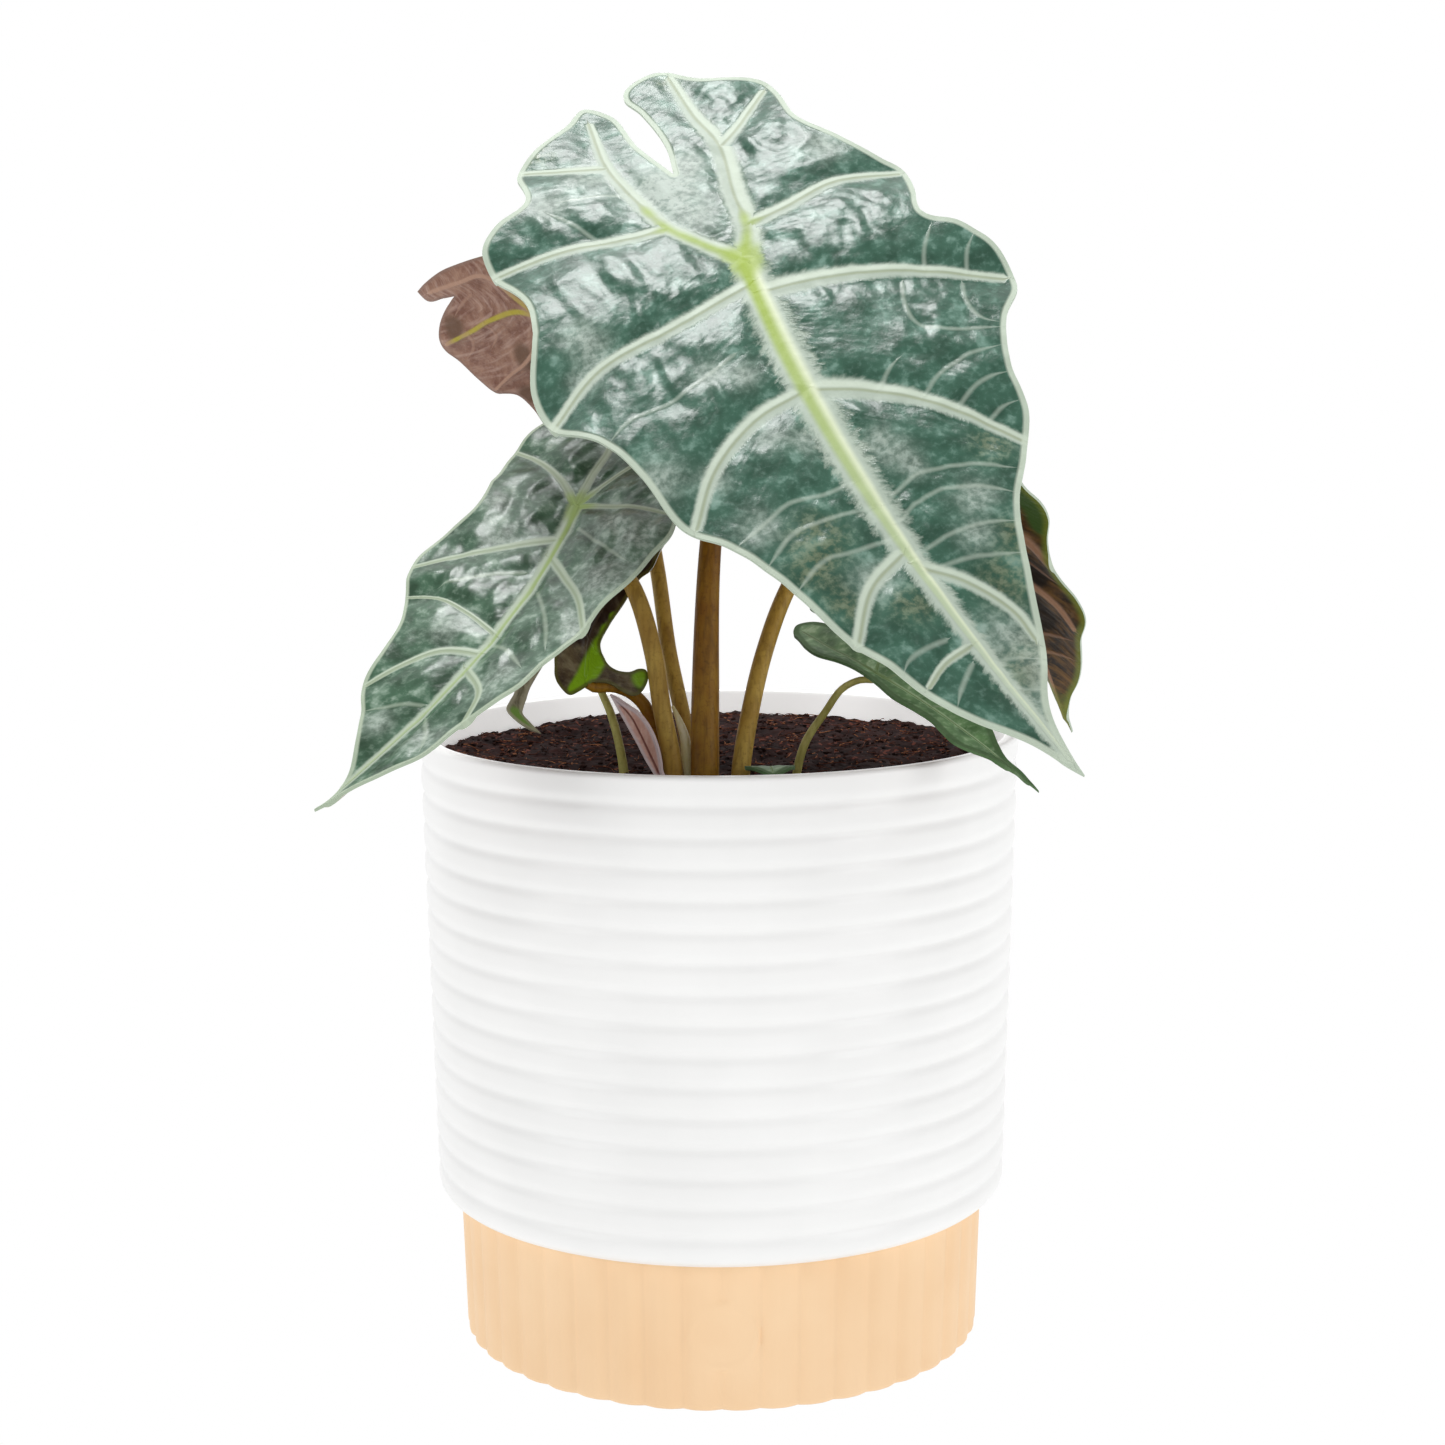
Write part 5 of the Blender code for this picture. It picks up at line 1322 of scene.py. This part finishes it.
CURLED = Leaf(
    "curled_blade", join=(-34.7, -38.0, 186.5), tip=(-12.5, -20.0, 224.0), face=(0.0, 0.87, -0.50),
    vee=0.1, arch=-0.012, half=12.0, pillow=0.4, reach=2.5, rib=0.5, grid=0.6, ridge=0.15, crinkle=0.2,
    outline=[
        [(0, 47.2), (-4, 43), (-8, 35), (-10, 25), (-11.5, 14), (-11.5, 4), (-10, 1), (-8.5, -1.5),
         (-6, -3.5), (-2.5, -4.5), (-0.8, -2.6), (1.2, 1.2)],
        [(1.2, 1.2), (5, 3), (8.5, 3), (11.3, 3.3), (12.8, 4.6), (13.2, 7.5), (12.6, 10.2), (11.2, 11.3),
         (9.6, 10.5), (8, 8.5), (5, 7.2), (2.5, 7.4), (0.6, 8.6), (-2, 11.5), (-2.5, 17.5), (-2, 24),
         (-1.5, 32.5), (0, 36), (-0.3, 42), (0, 47.2)],
    ],
    veins=[
        ((0.7, 0.4), [(-1, 2), (-5, 12), (-6, 22), (-4, 34), (-1, 45)]),
        ((0.5, 0.3), [(-3, 10), (-7, 13), (-11, 17)]),
    ],
    glare_and_green_spots=[(-2.4, 20, 1.5), (-2.2, 16, 2), (-1.4, 12, 2.5), (-0.9, 8, 2.8), (-0.9, 4, 2.8), (-1.1, 0, 2.5),
            (-1.7, -3, 2), (11.8, 9, 3.4)],
    warms=[(-6, 20, 4), (-8, 12, 4), (-5, 28, 4), (-3, 36, 4)])

DROOPING = Leaf(
    "drooping_blade", join=(-40.5, -24.0, 203.2), tip=(-46.7, -38.0, 173.4), face=(0.10, -0.90, 0.30),
    bow=-8.0, half=10.0, pillow=0.4, reach=2.5, rib=0.5, grid=0.6, ridge=0.15, crinkle=0.15,
    outline=[
        [(0, 33.5), (-2.8, 32.8), (-5.2, 31.3), (-6.5, 29.2), (-4.5, 26.5), (-2.6, 24), (-1.6, 20.5),
         (-2, 16), (-5, 10), (-8.5, 4), (-9.5, -3), (-7.5, -9), (-3.5, -10), (0, -5)],
        [(0, -5), (3.5, -9), (7, -8), (8.5, -2), (7.5, 5), (5.2, 13.5), (3.5, 18.5), (1.5, 22.5),
         (0.3, 25), (-1, 27), (-2.2, 29.2), (-1.3, 31), (0, 33.5)],
    ],
    veins=[
        ((0.6, 0.3), [(0, 0), (0, 8), (0.5, 16), (0, 22), (-3, 28), (-1.5, 31.5)]),
        ((0.4, 0.3), [(0, 0), (-4, -4), (-6, -8)]),
        ((0.4, 0.3), [(0, 0), (4, -4), (6, -7)]),
        ((0.4, 0.3), [(0, 6), (-5, 8), (-8, 8)]),
    ],
    glare_and_green_spots=[(-4, 30, 2.5), (-1, 31, 2)])

SEEDLING = Leaf(
    "seedling_blade", join=(13.0, -43.5, 165.0), tip=(14.0, -62.0, 165.8), face=(0.0, 0.0, 1.0),
    camber=1.2, vee=0.05, arch=0.01, half=6.0, pillow=0.3, reach=2.0, rib=0.4, grid=0.7,
    ridge=0.1, crinkle=0.1,
    outline=[
        [(0, 18.5), (-3, 15), (-5.5, 10), (-6.5, 5), (-6, 0), (-4, -3.5), (-1.5, -3.5), (0, -2)],
        [(0, -2), (1.5, -3.5), (4, -3.5), (6, 0), (6.5, 5), (5.5, 10), (3, 15), (0, 18.5)],
    ],
    veins=[
        ((0.5, 0.3), [(0, 0), (0, 17)]),
        ((0.4, 0.2), [(0, 3), (-3, 4), (-5, 7)]),
        ((0.4, 0.2), [(0, 3), (3, 4), (5, 7)]),
    ])

make_blade(LOW_RIGHT, "low_right_leaf_blade", PLAIN_GREEN, PURPLE_UNDER)
make_blade(CURLED, "curled_leaf_blade", GLOSSY_OLIVE, GLOSSY_OLIVE)
make_blade(DROOPING, "drooping_leaf_blade", TAUPE_UNDER, TAUPE_UNDER)
make_blade(SEEDLING, "seedling_leaf_blade", PLAIN_GREEN, PURPLE_UNDER)

# %% [markdown]
# At the foot of the stems stand a dry pink sheath leaf, thin as paper, and a short pale spear.

# %% Sheath leaf
SHEATH = Leaf(
    "dry_sheath_leaf", join=(-15.8, -39.0, 162.5), tip=(-29.3, -37.0, 183.9), face=(-0.35, -0.85, -0.15),
    camber=-1.5, vee=0.25, half=5.0, rib=0.4, grid=0.5, ridge=-0.5, crinkle=0.15,
    outline=[
        [(-0.3, 24.6), (-2, 21), (-4.4, 17), (-5, 12), (-4, 6.5), (-2.4, 2.5), (-1.2, 0), (-1.2, -5)],
        [(-1.2, -5), (1.2, -5)],
        [(1.2, -5), (1.2, 0), (1.5, 5), (1.3, 10), (1, 15), (0.5, 20), (-0.3, 24.6)],
    ],
    veins=[((0.7, 0.5), [(0, -4), (-0.5, 6), (-1.2, 12), (-1.8, 17), (-1, 22)])])

PAPERY_PINK = under_skin("dry papery sheath", "#cd9b8a", "#e9bbac", "#f8dccf", "#74352b", "#ded2d6",
                         stripe=0.6, roughness=0.65)
make_blade(SHEATH, "pink_sheath", PAPERY_PINK, PAPERY_PINK)

# %% [markdown]
# The stems are round, fleshy and olive-brown with darker flecks. Each one is a curve with a round bevel that
# tapers up to its leaf, turned into a mesh. The flecks are noise on the piece's own coordinates, stretched
# along the stem, which stands nearly upright.

# %% Stems
STEM_DEPTH = 12.0
STEM_STEP = 1.6
STEM_SIDES_SETTING = 7
STEM_ROUTES = {
    "front": (FRONT, 2.3, 10.0, [
        (-3.7, -38.0, 162.0, 3.8), (-3.5, -35.5, 181.7, 3.7), (-2.4, -32.0, 216.0, 3.0),
        (1.0, -26.0, 250.0, 2.6), (4.5, -17.5, 276.0, 2.4)]),
    "left": (LEFT, 2.0, 8.0, [
        (-11.7, -37.2, 162.0, 2.55), (-14.9, -36.2, 179.5, 2.5), (-17.1, -36.0, 194.6, 2.5),
        (-22.0, -35.5, 211.0, 2.3), (-29.0, -30.0, 220.5, 2.1)]),
    "back_left": (BACK_LEFT, 1.7, 6.0, [
        (-7.5, -27.0, 162.0, 2.2), (-9.3, -24.0, 173.9, 2.2), (-13.3, -18.0, 192.4, 2.15),
        (-16.5, -10.0, 214.3, 2.1), (-22.0, 6.0, 240.0, 2.0), (-30.0, 27.0, 263.0, 1.9)]),
    "back_right": (BACK_RIGHT, 1.6, 6.0, [
        (5.7, -37.5, 162.0, 2.5), (8.3, -34.5, 178.3, 2.4), (12.3, -30.5, 194.3, 2.3),
        (18.3, -26.0, 209.8, 2.2), (31.0, -15.0, 229.0, 2.0), (47.0, 2.0, 239.0, 1.8)]),
    "low_right": (LOW_RIGHT, 0.85, 1.9, [
        (20.7, -33.2, 162.0, 1.15), (23.1, -33.0, 170.3, 1.1), (28.1, -33.2, 178.0, 1.0),
        (32.5, -34.0, 184.3, 0.95), (37.2, -36.3, 187.0, 0.9)]),
    "curled": (CURLED, 0.0, 0.0, [
        (-15.6, -30.5, 162.0, 1.9), (-16.8, -30.6, 171.0, 1.9), (-19.0, -31.0, 178.6, 1.75),
        (-22.6, -32.0, 182.9, 1.7), (-27.5, -34.7, 185.3, 1.6), (-32.8, -36.9, 185.5, 1.4),
        (-34.6, -37.8, 186.3, 1.0)]),
    "drooping": (DROOPING, 0.8, 3.0, [
        (-25.2, -33.4, 162.0, 1.25), (-26.5, -32.0, 169.8, 1.15), (-28.6, -30.0, 177.3, 1.1),
        (-31.3, -27.5, 183.2, 1.0), (-35.8, -23.5, 193.0, 0.95), (-39.5, -20.5, 199.5, 0.9)]),
    "seedling": (SEEDLING, 0.8, 1.8, [(13.0, -43.5, 161.5, 1.0)]),
}
SHOOT_ROUTE = [(-8.6, -33.6, 162.0, 1.5), (-8.9, -33.4, 171.0, 1.3), (-10.5, -33.0, 176.0, 0.9),
               (-12.2, -32.5, 179.8, 0.4)]


def make_stem(name, route):
    """A round tapering stem along a route of (x, y, z, radius), with its foot in the potting mix."""
    x, y, _, radius = route[0]
    line = smooth_line([(x, y, SOIL_Z - STEM_DEPTH, radius)] + route, STEM_STEP)
    curve = bpy.data.curves.new(name, "CURVE")
    curve.dimensions = "3D"
    curve.bevel_depth = MM
    curve.bevel_resolution = STEM_SIDES_SETTING
    curve.use_fill_caps = True
    spline = curve.splines.new("POLY")
    spline.points.add(len(line) - 1)
    for point, (x, y, z, radius) in zip(spline.points, line):
        point.co = (x * MM, y * MM, z * MM, 1.0)
        point.radius = radius
    spline.use_smooth = True
    stem = curve_to_mesh(name, curve)
    smooth_shade(stem, 60)
    return stem


# %% Stem skin
STREAK_WIDTH = 0.0011


def stem_skin(name, dark, mid, light, roughness=0.5):
    """Fleshy stem skin: upright streaks, broad clouds and short dark flecks."""
    material, tree, shader = new_material(name, roughness, 1.36)
    place = add(tree, "TexCoord", {}, out="Object")
    upright = add(tree, "Mapping", {"Vector": place, "Scale": (1.0, 1.0, 0.16)})
    level = add(tree, "Mapping", {"Vector": place, "Scale": (1.0, 1.0, 1.2)})
    streaks = add(tree, "TexNoise", {"Vector": upright, "Scale": 1 / STREAK_WIDTH, "Detail": 3.0})
    clouds = add(tree, "TexNoise", {"Vector": place, "Scale": 1 / 0.012, "Detail": 3.0})
    flecks = add(tree, "TexNoise", {"Vector": level, "Scale": 1 / STREAK_WIDTH, "Detail": 3.0,
                                    "Roughness": 0.6})
    skin = coats(tree, mid, [(add(tree, "MapRange", [clouds, 0.35, 0.65]), light),
                             (add(tree, "MapRange", [streaks, 0.45, 0.7, 0, 0.45]), dark),
                             (add(tree, "MapRange", [flecks, 0.54, 0.7, 0, 0.4]), dark)])
    tree.links.new(skin, shader.inputs["Base Color"])
    bump = add(tree, "Bump", {"Height": streaks, "Distance": 0.00025, "Strength": 0.7}, out="Normal")
    tree.links.new(bump, shader.inputs["Normal"])
    return material


OLIVE_STEM = stem_skin("olive-brown stem", "#4f3005", "#83560c", "#9b731b")
GOLDEN_STEM = stem_skin("golden olive stem", "#6a4c16", "#a37f30", "#bd9d47")
YOUNG_STEM = stem_skin("young green stem", "#7d7534", "#9c964a", "#b9b36a")
SPEAR = stem_skin("pale spear", "#e0d684", "#f4ecb0", "#fffad8")
STEM_FINISH = {"front": OLIVE_STEM, "left": GOLDEN_STEM, "back_left": GOLDEN_STEM, "back_right": GOLDEN_STEM,
               "curled": OLIVE_STEM}
for name, (leaf, end_radius, approach, route) in STEM_ROUTES.items():
    route = list(route)
    if approach:
        seat, out = leaf.seat()
        route.append((*(seat - out * approach), end_radius * 1.05))
        route.append((*(seat - out * BLADE_THICK * 0.6), end_radius * 1.1))
    stem = make_stem(f"{name}_petiole", route)
    dress(stem, STEM_FINISH.get(name, YOUNG_STEM), f"{name}_leaf_petiole")
    print(stem.name, len(stem.data.polygons), "faces")
spear = make_stem("spear_shoot", SHOOT_ROUTE)
dress(spear, SPEAR, "new_shoot")
